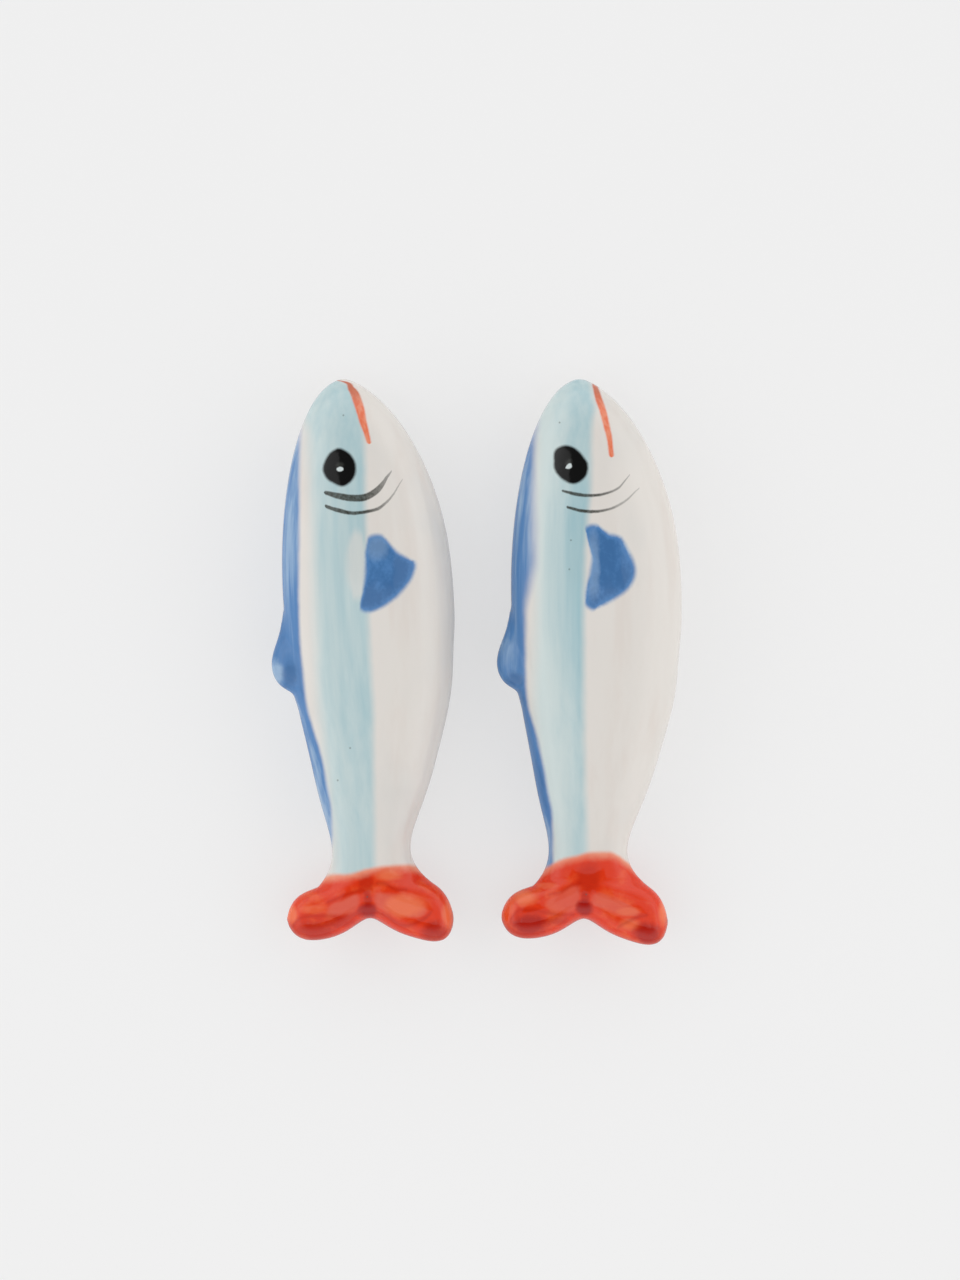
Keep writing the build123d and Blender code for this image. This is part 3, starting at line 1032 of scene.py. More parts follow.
@dataclass
class GlazedSkin:
    """Outer surface of the glaze on one clay body, in millimetres, smooth where glaze fills the creases."""

    clay: bpy.types.Object
    place: RestPlace
    grain: float = 0.25
    thickness: float = 0.35
    clay_ease_rounds: int = 6
    glaze_ease_rounds: int = 24
    ease_shares: Point = (0.5, -0.52)
    fill_rounds: int = 260
    fill_share: float = 0.5
    fin_root: Point = (-8.7, 41.9)
    root_reach: float = 1.7
    root_gain: float = 0.006
    root_rounds: int = 45
    root_share: float = 0.5
    hollow_rounds: int = 20
    glaze_line: float = 0.62
    line_wander: float = 0.12
    line_waves: tuple[Point, Point] = ((0.9, 0.35), (-0.4, 0.55))
    points: np.ndarray = field(init=False)
    quads: np.ndarray = field(init=False)
    edges: np.ndarray = field(init=False)
    neighbours: np.ndarray = field(init=False)

    def build(self) -> bmesh.types.BMesh:
        """Makes the skin and cuts it off above the table.

        Returns:
            The skin as one open mesh.
        """
        self._remesh()
        self._ease(self.clay_ease_rounds)
        self.points += self.thickness * self._normals()
        self._fill_creases()
        self._ease(self.glaze_ease_rounds)
        self._keep_in_box()
        mesh = bpy.data.meshes.new("skin")
        mesh.from_pydata(self.points.tolist(), [], self.quads.tolist())
        store_hollows(mesh, self._hollows())
        skin = bmesh.new()
        skin.from_mesh(mesh)
        bpy.data.meshes.remove(mesh)
        cut_along(skin, self._above_line)
        heights = self._above_line(face_centres(skin))
        below = [face for face, height in zip(skin.faces, heights) if height < 0]
        bmesh.ops.delete(skin, geom=below, context="FACES")
        return skin

    def _remesh(self) -> None:
        """Lays an even net of small facets over the clay body, and finds its edges."""
        copy = self.clay.data.copy()
        copy.transform(Matrix.Scale(1 / MM, 4))
        blank = put_in_scene("blank", copy)
        net = blank.modifiers.new("net", "REMESH")
        net.mode = "VOXEL"
        net.voxel_size = self.grain
        made = blank.evaluated_get(bpy.context.evaluated_depsgraph_get()).to_mesh()
        points = np.empty(len(made.vertices) * 3)
        made.vertices.foreach_get("co", points)
        corners = np.empty(len(made.loops), dtype=np.int64)
        made.loops.foreach_get("vertex_index", corners)
        self.points, self.quads = points.reshape(-1, 3), corners.reshape(-1, 4)
        bpy.data.objects.remove(blank)
        bpy.data.meshes.remove(copy)
        sides = np.concatenate([self.quads[:, [i, (i + 1) % 4]] for i in range(4)])
        self.edges = np.unique(np.sort(sides, axis=1), axis=0)
        self.neighbours = np.bincount(self.edges.ravel(), minlength=len(self.points))

    def _normals(self) -> np.ndarray:
        """Outward directions of the skin.

        Returns:
            One direction for each point.
        """
        a, b, c, d = (self.points[self.quads[:, i]] for i in range(4))
        faces = np.repeat(np.cross(c - a, d - b), 4, axis=0)
        corners = self.quads.ravel()
        total = np.stack([np.bincount(corners, faces[:, i], len(self.points)) for i in range(3)], axis=1)
        return total / np.linalg.norm(total, axis=1, keepdims=True)

    def _around(self, values: np.ndarray) -> np.ndarray:
        """Mean of a value over each point's neighbours.

        Args:
            values: One value for each point.

        Returns:
            One mean for each point.
        """
        first, second = self.edges.T
        size = len(values)
        total = np.bincount(first, values[second], size) + np.bincount(second, values[first], size)
        return total / self.neighbours

    def _pull(self) -> np.ndarray:
        """Way from each point to the middle of its neighbours."""
        return np.stack([self._around(places) for places in self.points.T], axis=1) - self.points

    def _ease(self, rounds: int) -> None:
        """Takes the net's steps out of the surface without shrinking it.

        Args:
            rounds: How often the surface is eased.
        """
        for _ in range(rounds):
            for share in self.ease_shares:
                self.points += share * self._pull()

    def _fill_creases(self) -> None:
        """Lets glaze gather in the creases at the fin and the tail, and rounds the corner behind the fin."""
        across, along = self.place.plan(self.points)
        away = ((across - self.fin_root[0]) ** 2 + (along - self.fin_root[1]) ** 2) / self.root_reach**2
        nearness = np.exp(-away)
        for _ in range(self.fill_rounds):
            normals = self._normals()
            lift = np.clip((self._pull() * normals).sum(axis=1) + self.root_gain * nearness, 0, None)
            self.points += self.fill_share * lift[:, None] * normals
        for _ in range(self.root_rounds):
            self.points += self.root_share * nearness[:, None] * self._pull()

    def _hollows(self) -> np.ndarray:
        """How hollow the skin is.

        Returns:
            A value in 1/mm for each point, above zero in a crease and below zero on a ridge.
        """
        first, second = self.edges.T
        square = ((self.points[first] - self.points[second]) ** 2).sum(axis=1)
        spread = np.bincount(self.edges.ravel(), np.repeat(square, 2), len(self.points)) / self.neighbours
        hollows = 2 * (self._pull() * self._normals()).sum(axis=1) / spread
        for _ in range(self.hollow_rounds):
            hollows = (hollows + self._around(hollows)) / 2
        return hollows

    def _keep_in_box(self) -> None:
        """Holds the skin inside the box of the solids."""
        low, high = (np.array(corner) / MM for corner in cad_box)
        np.clip(self.points[:, :2], low[:2], high[:2], out=self.points[:, :2])
        np.minimum(self.points[:, 2], high[2], out=self.points[:, 2])

    def _above_line(self, points: np.ndarray) -> np.ndarray:
        """Height above the wavering line at which the glaze ends.

        Args:
            points: Points of the skin.

        Returns:
            Heights above that line.
        """
        x, y, z = points.T
        wander = np.mean([np.sin(right * x + ahead * y) for right, ahead in self.line_waves], axis=0)
        return z - self.glaze_line - self.line_wander * (1 + wander)


@dataclass
class ChopstickRest:
    """One rest: its bare clay foot and the painted coats of its glaze."""

    place: RestPlace
    work: Brushwork
    coat_depth: float = 0.3
    mark_level: float = 4.8
    mark_margin: float = 0.12
    fine_margin: float = 0.6
    pieces: list[bpy.types.Object] = field(default_factory=list)

    def depths(self, coat: Coat, points: np.ndarray) -> np.ndarray:
        """How far points lie inside the region of one coat.

        Args:
            coat: The coat.
            points: Points of the skin in millimetres.

        Returns:
            Positive depths inside the region and negative ones outside.
        """
        across, along = self.place.plan(points)
        above = points[:, 2] - self.mark_level
        work = self.work
        if coat is Coat.TAIL:
            return along - work.tail_edge.at(across)
        if coat is Coat.BACK:
            return work.blue_edge.at(along) - across
        if coat is Coat.FLANK:
            from_back = across - work.flank_back_edge.at(along)
            to_belly = work.flank_belly_edge.at(along) - across
            return np.minimum(np.minimum(from_back, to_belly), above)
        marks = {
            Coat.GLINT: work.glint,
            Coat.EYE: work.eye,
            Coat.MOUTH: work.mouth,
            Coat.FRONT_GILL: work.front_gill,
            Coat.REAR_GILL: work.rear_gill,
            Coat.PECTORAL: work.pectoral,
        }
        return np.minimum(marks[coat].inside(across, along) + self.mark_margin, above)

    def build(self) -> None:
        """Makes every coat as a closed piece of its own."""
        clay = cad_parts[f"{self.place.side}_clay_body"]
        skin = GlazedSkin(clay, self.place).build()
        self._refine(skin)
        cuts = [coat for coat in Coat if coat is not Coat.BELLY]
        for coat in cuts:
            cut_along(skin, lambda points, coat=coat: self.depths(coat, points))
        skin.normal_update()
        skin.verts.index_update()
        centres = face_centres(skin)
        owner = np.full(len(centres), len(cuts))
        for number, coat in reversed(list(enumerate(cuts))):
            owner[self.depths(coat, centres) > 0] = number
        points = np.array([vert.co for vert in skin.verts])
        normals = np.array([vert.normal for vert in skin.verts])
        layer = skin.verts.layers.float[HOLLOW]
        hollows = np.array([vert[layer] for vert in skin.verts])
        for number, coat in enumerate(Coat):
            faces = [face for face, mine in zip(skin.faces, owner) if mine == number]
            self.pieces.append(self._coat_piece(coat, faces, points, normals, hollows))
        skin.free()

    def _refine(self, skin: bmesh.types.BMesh) -> None:
        """Halves the facets around the small painted marks.

        Args:
            skin: The skin to refine.
        """
        centres = face_centres(skin)
        small = (Coat.EYE, Coat.MOUTH, Coat.FRONT_GILL, Coat.REAR_GILL, Coat.PECTORAL)
        nearest = np.max([self.depths(coat, centres) for coat in small], axis=0)
        near = [face for face, depth in zip(skin.faces, nearest) if depth > -self.fine_margin]
        edges = sorted({edge for face in near for edge in face.edges}, key=lambda edge: edge.index)
        bmesh.ops.subdivide_edges(skin, edges=edges, cuts=1, use_grid_fill=True)

    def _coat_piece(
        self,
        coat: Coat,
        faces: list[bmesh.types.BMFace],
        points: np.ndarray,
        normals: np.ndarray,
        hollows: np.ndarray,
    ) -> bpy.types.Object:
        """Closed piece of one coat, with an outer face, an inner face and a rim.

        Args:
            coat: The coat.
            faces: The coat's facets of the skin.
            points: Points of the whole skin.
            normals: Outward directions of the whole skin.
            hollows: How hollow the whole skin is.

        Returns:
            The new piece.
        """
        used = sorted({vert.index for face in faces for vert in face.verts})
        number = {index: i for i, index in enumerate(used)}
        outer = points[used]
        inner = outer - self.coat_depth * normals[used]
        mine = set(faces)
        shells: list[list[int]] = [[number[vert.index] for vert in face.verts] for face in faces]
        rims = []
        for face in faces:
            for loop in face.loops:
                if not any(other in mine for other in loop.edge.link_faces if other is not face):
                    a, b = number[loop.vert.index], number[loop.link_loop_next.vert.index]
                    rims.append([b, a, a + len(used), b + len(used)])
        linings = [[i + len(used) for i in reversed(shell)] for shell in shells]
        name = f"{self.place.side}_{coat.node}_glazed"
        mesh = bpy.data.meshes.new(name)
        mesh.from_pydata((np.concatenate([outer, inner]) * MM).tolist(), [], shells + linings + rims)
        mesh.polygons.foreach_set("use_smooth", [True] * len(mesh.polygons))
        store_hollows(mesh, np.tile(hollows[used], 2))
        lit = [normals[used[i]] for shell in shells for i in shell]
        lined = [-normals[used[i - len(used)]] for lining in linings for i in lining]
        # A zero direction leaves a facet of the rim its own
        mesh.normals_split_custom_set([tuple(n) for n in lit + lined] + [(0.0, 0.0, 0.0)] * (4 * len(rims)))
        return put_in_scene(name, mesh)

    def dress(self, bisque: bpy.types.Material) -> None:
        """Gives every piece its finish and its body, and hides the node that the piece stands for.

        Args:
            bisque: Finish of the bare clay.
        """
        glaze = PaintedGlaze(self.place, self.work, self.mark_level).build()
        side = self.place.side
        for coat, piece in zip(Coat, self.pieces):
            piece.data.materials.append(glaze)
            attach(piece, f"{side}_rest")
            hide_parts(f"{side}_{coat.node}")
            log.info("%s: %d facets", piece.name, len(piece.data.polygons))
        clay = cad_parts[f"{side}_clay_body"]
        clay.data.materials.clear()
        clay.data.materials.append(bisque)
        log.info("%s: bare clay", clay.name)


@dataclass(frozen=True)
class SoftBox:
    """One soft box around the table: where it stands, its size in metres and how bright its face is."""

    name: str
    bearing: float
    tilt: float
    radiance: float
    width: float = 0.75
    length: float = 1.3
    away: float = 1.0

    def build(self) -> None:
        """Hangs the lamp, with its face towards the middle of the table."""
        lamp = bpy.data.lights.new(self.name, "AREA")
        lamp.shape = "RECTANGLE"
        lamp.size = self.width
        lamp.size_y = self.length
        lamp.energy = self.radiance * math.pi * self.width * self.length
        box = put_in_scene(self.name, lamp)
        turn, bearing = math.radians(self.tilt), math.radians(self.bearing)
        flat = self.away * math.sin(turn)
        box.location = (flat * math.cos(bearing), flat * math.sin(bearing), self.away * math.cos(turn))
        box.rotation_euler = (0.0, turn, bearing)


@dataclass
class Studio:
    """Pale table, soft boxes, a bright room around and a camera that looks straight down.

    The view and the table's gap are in millimetres, and the table's side is in metres.
    """

    view_centre: Point = (0.464, 2.915)
    view_height: float = 169.6
    outline_height: float = 6.2
    lens: float = 150.0
    sensor: float = 36.0
    table_side: float = 4.0
    table_gap: float = 0.02
    table_glow: float = 0.65
    mirrored_glow: float = 0.4
    room_level: float = 1.5
    ceiling_share: float = 0.09
    wall_top: float = 0.3
    ceiling_start: float = 0.8
    head_end_share: float = 0.12
    boxes: tuple[SoftBox, ...] = (
        SoftBox("left_soft_box", 180.0, 46.0, 0.75),
        SoftBox("right_soft_box", 0.0, 46.0, 0.74),
        SoftBox("top_soft_box", -90.0, 18.0, 0.85, 0.72, 0.95),
    )

    def build(self) -> None:
        """Sets up the table, the light and the camera."""
        self._table()
        self._world()
        for box in self.boxes:
            box.build()
        self._camera()
        bpy.context.scene.view_settings.view_transform = "Standard"

    def _table(self) -> None:
        """Pale table top that takes the shadow."""
        half = self.table_side / 2
        mesh = bpy.data.meshes.new("table")
        corners = [(-half, -half, 0), (half, -half, 0), (half, half, 0), (-half, half, 0)]
        mesh.from_pydata(corners, [], [(0, 1, 2, 3)])
        table = put_in_scene("table", mesh)
        table.location.z = -self.table_gap * MM
        bench = ShaderBench("table_top")
        bench.shader.inputs["Base Color"].default_value = Pigment.TABLE.linear
        bench.shader.inputs["Roughness"].default_value = 1.0
        bench.shader.inputs["Specular IOR Level"].default_value = 0.0
        self._brighten(bench)
        mesh.materials.append(bench.material)

    def _brighten(self, bench: ShaderBench) -> None:
        """Makes the table pale to the camera and in the glaze, with a faint shadow left on it.

        Args:
            bench: The table top's bench.
        """
        nodes = bench.tree.nodes
        path = nodes.new("ShaderNodeLightPath").outputs
        mirrored = bench.sum(Sum.MAXIMUM, path["Is Glossy Ray"], path["Is Transmission Ray"])
        seen = bench.sum(Sum.MAXIMUM, path["Is Camera Ray"], bench.times(mirrored, self.mirrored_glow))
        glow = nodes.new("ShaderNodeEmission")
        glow.inputs["Color"].default_value = Pigment.TABLE.linear
        mixed = nodes.new("ShaderNodeMixShader")
        bench.feed(mixed.inputs[0], bench.times(seen, self.table_glow))
        bench.feed(mixed.inputs[1], bench.shader.outputs[0])
        bench.feed(mixed.inputs[2], glow.outputs[0])
        bench.feed(nodes["Material Output"].inputs["Surface"], mixed.outputs[0])

    def _world(self) -> None:
        """Room with bright walls, brightest at the heads, and a dark ceiling."""
        world = bpy.data.worlds.new("room")
        world.use_nodes = True
        nodes, links = world.node_tree.nodes, world.node_tree.links
        split = nodes.new("ShaderNodeSeparateXYZ")
        links.new(nodes.new("ShaderNodeTexCoord").outputs["Generated"], split.inputs[0])
        fall = nodes.new("ShaderNodeMapRange")
        fall.interpolation_type = "SMOOTHSTEP"
        links.new(split.outputs["Z"], fall.inputs["Value"])
        fall.inputs["From Min"].default_value = self.wall_top
        fall.inputs["From Max"].default_value = self.ceiling_start
        fall.inputs["To Min"].default_value = self.room_level
        fall.inputs["To Max"].default_value = self.room_level * self.ceiling_share
        lean = nodes.new("ShaderNodeMath")
        lean.operation = "MULTIPLY_ADD"
        links.new(split.outputs["Y"], lean.inputs[0])
        lean.inputs[1].default_value = self.head_end_share
        lean.inputs[2].default_value = 1.0
        level = nodes.new("ShaderNodeMath")
        level.operation = "MULTIPLY"
        links.new(fall.outputs["Result"], level.inputs[0])
        links.new(lean.outputs[0], level.inputs[1])
        background = nodes["Background"]
        background.inputs["Color"].default_value = (1.0, 1.0, 1.0, 1.0)
        links.new(level.outputs[0], background.inputs["Strength"])
        bpy.context.scene.world = world

    def _camera(self) -> None:
        """Camera high above the table, with a long lens."""
        data = bpy.data.cameras.new("camera")
        data.lens = self.lens
        data.sensor_width = self.sensor
        camera = put_in_scene("camera", data)
        away = self.view_height * self.lens / self.sensor
        x, y = self.view_centre
        camera.location = (x * MM, y * MM, (away + self.outline_height) * MM)
        bpy.context.scene.camera = camera


LEFT_PLACE = RestPlace("left", (-17.7, 37.6), 2.9)
RIGHT_PLACE = RestPlace("right", (13.7, 37.6), 0.5)

LEFT_WORK = Brushwork(
    blue_edge=PaintLine(
        (
            (3.0, -9.0), (5.2, -6.4), (6.6, -5.9), (9.1, -6.05), (20.0, -6.6), (34.2, -7.25), (39.2, -7.05),
            (43.2, -6.8), (46.0, -6.2), (49.5, -5.3), (53.9, -4.7), (57.4, -4.35), (60.0, -4.4),
            (62.0, -4.7), (66.0, -5.8),
        )
    ),
    blue_softness=PaintLine(((4.0, 0.55), (15.0, 0.4), (34.0, 0.35), (62.0, 0.3))),
    blue_tone=PaintLine(
        (
            (4.0, 0.1), (15.0, 0.25), (24.0, 0.35), (31.0, 0.65), (38.0, 0.7), (44.0, 0.5), (52.0, 0.25),
            (62.0, 0.1),
        )
    ),
    fin_thin=Wash((-10.8, 38.6), (1.3, 2.0), 0.9),
    fin_pool=Wash((-8.9, 38.8), (1.2, 1.7), 0.8),
    flank_tone=PaintLine(
        ((0.0, 0.45), (8.0, 0.42), (20.0, 0.43), (30.0, 0.4), (42.0, 0.44), (55.0, 0.38), (64.0, 0.36))
    ),
    flank_lean=0.03,
    flank_back_edge=PaintLine(
        (
            (0.0, -9.5), (2.5, -8.0), (5.0, -5.4), (9.2, -4.4), (34.4, -4.8), (41.1, -4.9), (46.6, -4.6),
            (62.3, -4.0),
        )
    ),
    flank_belly_edge=PaintLine(
        (
            (0.0, -0.9), (1.5, 1.0), (3.8, 1.8), (6.2, 2.3), (9.5, 2.45), (18.8, 2.2), (40.1, 1.9),
            (43.6, 1.95), (47.7, 1.7), (64.0, 1.0),
        )
    ),
    tail_edge=PaintLine(
        ((-9.0, 66.9), (-5.0, 65.5), (-2.3, 65.4), (-0.1, 64.9), (3.0, 64.6), (5.6, 64.7), (9.0, 66.0))
    ),
    mouth=Stroke(
        Heading.ALONG,
        ((-0.9, 0.2), (0.15, 0.5), (1.1, 1.5), (1.95, 3.8), (2.5, 6.2), (3.1, 8.8)),
        (0.12, 0.25, 0.9, 1.2, 0.95, 0.6),
    ),
    front_gill=Stroke(
        Heading.ACROSS,
        ((-2.85, 15.25), (-1.2, 15.75), (0.6, 16.1), (2.6, 16.0), (4.2, 15.0), (5.85, 12.85)),
        (0.55, 0.8, 0.9, 0.92, 0.75, 0.2),
    ),
    rear_gill=Stroke(
        Heading.ACROSS,
        ((-2.85, 17.0), (-1.3, 17.65), (0.5, 18.1), (2.6, 17.95), (4.4, 17.4), (5.9, 16.0), (7.3, 13.95)),
        (0.5, 0.6, 0.52, 0.46, 0.4, 0.28, 0.1),
    ),
    eye=Blob(
        (-0.97, 12.0),
        (
            (2.22, -0.2), (1.9, 1.5), (0.4, 2.5), (-1.35, 1.7), (-2.05, 0.6), (-2.1, -0.3), (-1.6, -1.45),
            (-0.7, -2.25), (0.3, -2.52), (1.6, -1.65),
        ),
    ),
    glint=Blob.oval((-0.82, 12.2), 0.44, 0.3),
    pectoral=Blob(
        (4.0, 26.2),
        (
            (-1.5, -4.8), (-0.4, -5.15), (0.5, -4.8), (1.95, -2.9), (3.25, -2.0), (4.4, -1.3), (4.3, -0.2),
            (3.5, 1.4), (1.4, 3.5), (-0.65, 4.65), (-2.2, 5.0), (-3.05, 4.4), (-2.6, 2.0), (-2.15, -0.7),
            (-2.05, -2.9),
        ),
    ),
    pectoral_thin=Wash((3.5, 22.6), (2.0, 1.8), 0.35),
    halo=Blob((0.9, 25.0), ((1.0, -2.0), (1.4, 1.0), (-0.3, 4.6), (-1.4, 1.5), (-1.0, -3.2), (0.4, -4.6))),
    tail_thin_and_highlights=(
        # Lightens the painted highlight on the right lobe
        Wash((4.8, 70.1), (3.3, 1.7), 0.8),
        Wash((2.7, 66.0), (2.1, 0.9), 0.8),
        Wash((-7.4, 70.0), (2.2, 0.7), 0.5),
        Wash((-10.4, 70.5), (1.0, 1.4), 0.8),
        Wash((10.4, 71.7), (0.9, 2.4), 0.7),
    ),
    tail_pools=(
        Wash((-0.15, 70.5), (1.4, 1.3), 0.95),
        Wash((-0.15, 69.2), (0.7, 1.4), 0.5),
        Wash((-7.4, 72.8), (3.4, 1.6), 0.6),
        Wash((-4.2, 71.9), (2.4, 0.8), 0.5),
        Wash((8.4, 74.0), (2.1, 1.7), 0.75),
        Wash((-0.2, 67.2), (1.3, 1.8), 0.4),
    ),
    tail_lines=(
        Stroke(
            Heading.ACROSS,
            (
                (-10.2, 72.0), (-9.4, 71.2), (-8.0, 70.9), (-5.8, 70.95), (-3.6, 71.2), (-1.9, 70.9),
                (-0.9, 70.1),
            ),
            (0.12, 0.2, 0.25, 0.25, 0.45, 0.45, 0.25),
        ),
        Stroke(
            Heading.ACROSS,
            ((-5.5, 69.2), (-4.2, 68.7), (-2.6, 68.2), (-1.0, 67.8)),
            (0.1, 0.2, 0.2, 0.1),
        ),
        Stroke(
            Heading.ACROSS,
            (
                (0.5, 70.2), (1.2, 70.9), (2.4, 71.4), (3.2, 72.2), (4.6, 72.75), (6.2, 72.4), (7.4, 71.8),
                (8.1, 71.2),
            ),
            (0.25, 0.3, 0.35, 0.35, 0.35, 0.3, 0.25, 0.1),
        ),
        Stroke(
            Heading.ACROSS,
            ((1.2, 67.0), (2.2, 67.1), (3.4, 67.8), (5.0, 68.0)),
            (0.1, 0.2, 0.2, 0.1),
        ),
    ),
    # Painted highlights: light reflected on the two lobes of the tail
    tail_painted_highlights=(
        Blob(
            (-3.3, 69.7),
            (
                (2.15, -1.1), (2.1, -0.2), (1.6, 0.7), (0.5, 1.3), (-1.1, 1.3), (-2.3, 1.0), (-2.0, -0.1),
                (-0.7, -0.8), (0.8, -1.3), (1.7, -1.5),
            ),
        ),
        Blob(
            (3.6, 69.9),
            (
                (-2.8, -1.6), (-1.6, -1.7), (0.0, -1.5), (1.6, -1.0), (3.0, -0.2), (4.0, 0.9), (3.4, 1.7),
                (1.8, 1.8), (0.0, 1.4), (-1.6, 0.8), (-2.7, 0.1), (-3.0, -0.7),
            ),
        ),
    ),
    painted_highlight_share=0.8,
    # The last dot, in the tail's groove, is a painted reflection drawn like a pinhole
    pinholes_and_reflection=((-1.4, 48.9), (-3.3, 53.1), (-0.1, 5.1), (-0.2, 68.7)),
    gill_fade=(2.0, 7.0),
    seed=4.0,
)

RIGHT_WORK = Brushwork(
    blue_edge=PaintLine(
        (
            (2.5, -9.0), (4.4, -6.0), (5.6, -5.6), (8.6, -6.0), (14.0, -6.2), (20.0, -6.25), (24.0, -6.2),
            (27.4, -6.8), (31.3, -7.5), (39.9, -7.5), (43.4, -7.2), (46.2, -6.4), (50.2, -5.5),
            (55.1, -4.6), (58.4, -4.1), (66.0, -4.1),
        )
    ),
    blue_softness=PaintLine(
        ((4.0, 0.6), (12.0, 0.65), (20.0, 1.0), (26.0, 1.0), (32.0, 0.5), (45.0, 0.35), (62.0, 0.35))
    ),
    blue_tone=PaintLine(
        (
            (4.0, 0.2), (10.0, 0.35), (16.0, 0.38), (28.0, 0.45), (36.0, 0.52), (46.0, 0.68), (55.0, 0.65),
            (62.0, 0.5),
        )
    ),
    fin_thin=Wash((-9.9, 36.6), (1.3, 2.0), 0.2),
    fin_pool=Wash((-9.0, 39.7), (1.4, 1.3), 0.9),
    flank_tone=PaintLine(
        ((0.0, 0.4), (10.0, 0.42), (20.0, 0.58), (28.0, 0.6), (40.0, 0.46), (55.0, 0.3), (64.0, 0.28))
    ),
    flank_lean=0.11,
    flank_back_edge=PaintLine(
        (
            (0.0, -9.5), (3.0, -7.5), (6.0, -5.9), (9.4, -5.6), (34.5, -5.9), (42.5, -6.2), (50.4, -5.6),
            (62.4, -4.2),
        )
    ),
    flank_belly_edge=PaintLine(
        (
            (0.0, 1.4), (2.0, 1.6), (4.0, 1.9), (6.0, 1.5), (9.0, 1.3), (14.5, 1.15), (20.7, 0.55),
            (36.0, 0.05), (42.5, 0.05), (62.4, 0.4),
        )
    ),
    tail_edge=PaintLine(
        (
            (-9.0, 66.9), (-4.7, 64.5), (-3.1, 63.6), (-1.2, 63.1), (0.9, 62.6), (3.1, 62.6), (4.5, 63.1),
            (5.8, 64.1), (9.0, 66.0),
        )
    ),
    mouth=Stroke(
        Heading.ALONG,
        ((1.85, 0.4), (2.4, 2.8), (3.1, 5.2), (3.65, 7.9), (3.95, 10.4)),
        (0.7, 0.95, 0.9, 0.8, 0.65),
    ),
    front_gill=Stroke(
        Heading.ACROSS,
        ((-2.45, 15.1), (-0.7, 15.55), (1.1, 15.75), (3.2, 15.45), (5.0, 14.6), (6.3, 13.05)),
        (0.36, 0.5, 0.42, 0.34, 0.28, 0.12),
    ),
    rear_gill=Stroke(
        Heading.ACROSS,
        ((-1.9, 17.25), (0.05, 17.75), (1.8, 17.85), (3.7, 17.5), (5.6, 16.55), (7.55, 14.8)),
        (0.38, 0.48, 0.42, 0.34, 0.28, 0.12),
    ),
    eye=Blob(
        (-1.42, 11.62),
        (
            (2.25, 0.1), (1.95, 1.6), (0.4, 2.55), (-1.2, 1.85), (-2.08, 0.6), (-2.22, -0.6), (-2.1, -1.75),
            (-1.2, -2.45), (0.0, -2.48), (1.35, -1.5),
        ),
    ),
    glint=Blob((-1.68, 11.82), ((0.38, 0.1), (0.0, 0.33), (-0.42, 0.2), (-0.1, -0.28), (0.28, -0.38))),
    pectoral=Blob(
        (3.2, 25.5),
        (
            (-1.9, -6.1), (-0.7, -5.5), (0.2, -4.75), (1.1, -4.55), (1.9, -4.2), (2.6, -3.1), (3.25, -1.8),
            (3.75, -0.2), (3.6, 1.1), (2.85, 2.4), (1.25, 3.7), (-0.75, 4.75), (-2.3, 5.2), (-2.85, 4.4),
            (-2.8, 2.4), (-2.3, 0.4), (-2.05, -1.4), (-2.35, -3.1), (-2.65, -4.7), (-2.45, -5.8),
        ),
    ),
    pectoral_thin=Wash((1.4, 24.8), (1.0, 5.0), 0.4),
    halo=Blob((1.6, 23.5), ((1.4, -2.0), (1.2, 1.0), (-0.2, 4.6), (-0.9, 1.5), (-0.8, -2.6), (0.2, -4.2))),
    tail_thin_and_highlights=(
        Wash((-7.9, 68.7), (2.0, 1.2), 0.85),
        Wash((5.8, 72.3), (1.5, 1.0), 0.65),
        Wash((5.6, 70.6), (1.9, 0.8), 0.5),
        Wash((10.5, 70.9), (0.9, 2.0), 0.85),
        Wash((-10.0, 69.9), (1.0, 1.5), 0.4),
        Wash((-5.0, 67.2), (1.8, 0.5), 0.4),
    ),
    tail_pools=(
        Wash((0.0, 70.1), (1.3, 1.2), 0.95),
        Wash((0.1, 68.9), (0.6, 1.4), 0.5),
        Wash((-7.4, 72.4), (3.2, 1.6), 0.85),
        Wash((-4.0, 71.8), (2.2, 0.8), 0.5),
        Wash((8.2, 73.7), (2.1, 1.8), 0.85),
        Wash((0.4, 66.2), (1.9, 2.4), 0.4),
    ),
    tail_lines=(
        Stroke(
            Heading.ACROSS,
            ((-9.9, 71.8), (-9.2, 70.8), (-7.2, 70.35), (-5.2, 70.6), (-3.2, 71.0), (-1.5, 71.0)),
            (0.12, 0.2, 0.25, 0.3, 0.4, 0.2),
        ),
        Stroke(
            Heading.ACROSS,
            ((4.4, 72.7), (5.6, 72.0), (7.0, 71.35), (8.2, 71.1)),
            (0.1, 0.2, 0.25, 0.12),
        ),
        Stroke(
            Heading.ACROSS,
            ((-4.6, 68.3), (-3.2, 67.9), (-1.6, 67.1), (-0.6, 66.9)),
            (0.1, 0.16, 0.16, 0.1),
        ),
    ),
    # Painted highlights: light reflected on the two lobes of the tail
    tail_painted_highlights=(
        Blob(
            (-2.8, 69.0),
            (
                (2.2, -1.7), (2.3, -0.6), (2.0, 0.6), (1.3, 1.6), (-0.2, 1.7), (-2.0, 1.2), (-2.4, 0.3),
                (-1.2, -0.6), (0.2, -1.4), (1.4, -1.9),
            ),
        ),
        Blob(
            (3.4, 69.5),
            (
                (-2.6, -0.9), (-1.8, -1.5), (-0.4, -1.2), (1.4, -0.4), (3.2, 0.6), (3.8, 1.5), (2.2, 1.7),
                (0.2, 1.2), (-1.6, 0.6), (-2.5, 0.1),
            ),
        ),
    ),
    painted_highlight_share=0.7,
    # The last dot, in the tail's groove, is a painted reflection drawn like a pinhole
    pinholes_and_reflection=((-2.8, 6.0), (-1.5, 21.6), (-1.75, 25.4), (0.2, 68.3)),
    gill_fade=(1.0, 6.5),
    seed=31.0,
)


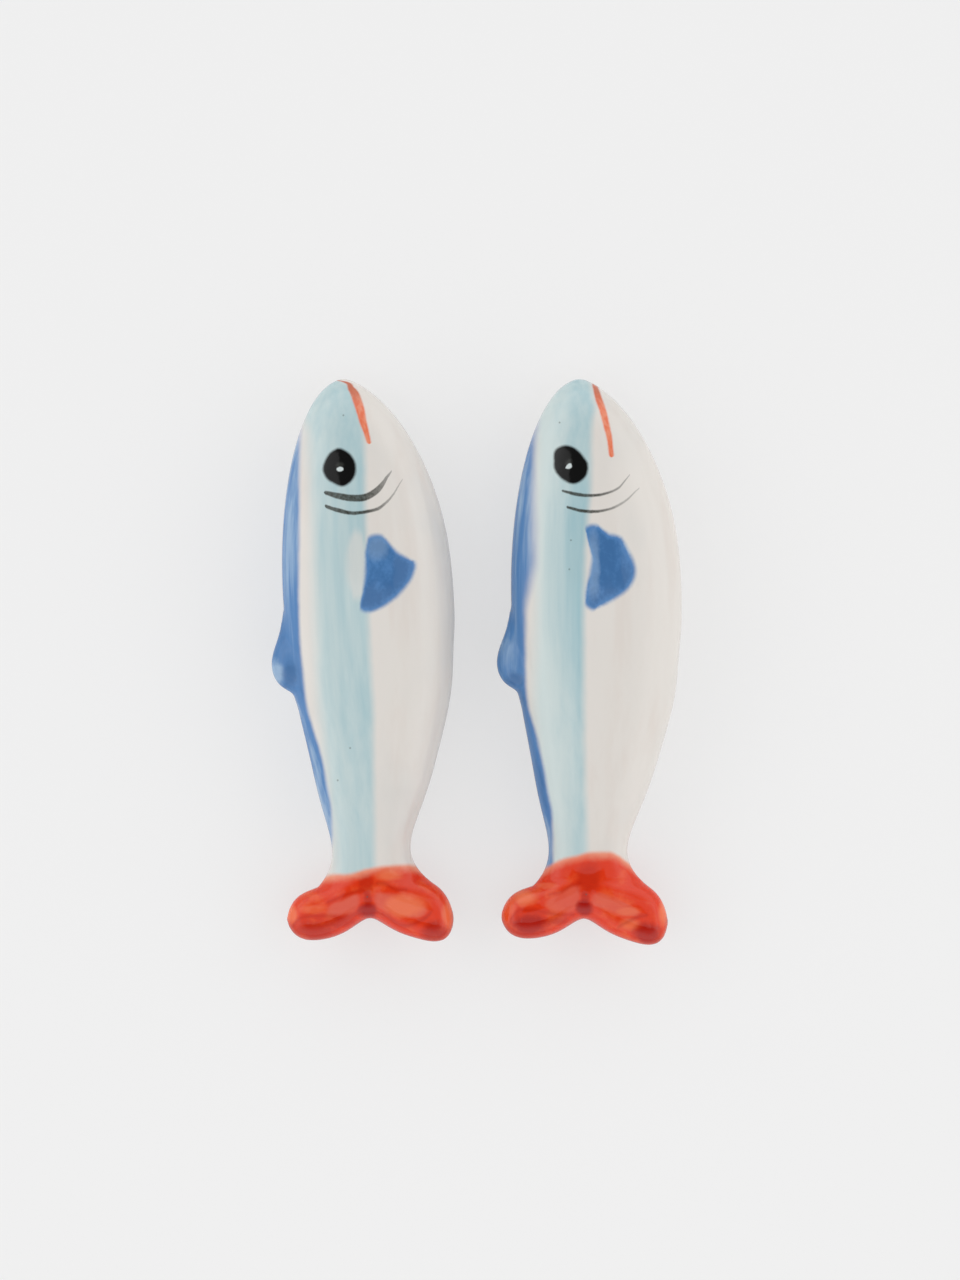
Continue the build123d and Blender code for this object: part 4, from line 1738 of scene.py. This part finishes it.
def main() -> None:
    """Builds both rests and the studio around them."""
    logging.basicConfig(level=logging.INFO, format="%(name)s: %(message)s")
    bisque = BisqueFinish().build()
    for place, work in ((LEFT_PLACE, LEFT_WORK), (RIGHT_PLACE, RIGHT_WORK)):
        rest = ChopstickRest(place, work)
        rest.build()
        rest.dress(bisque)
    Studio().build()
    bpy.context.view_layer.update()
    log.info("sizes written")


if __name__ == "__main__":
    main()
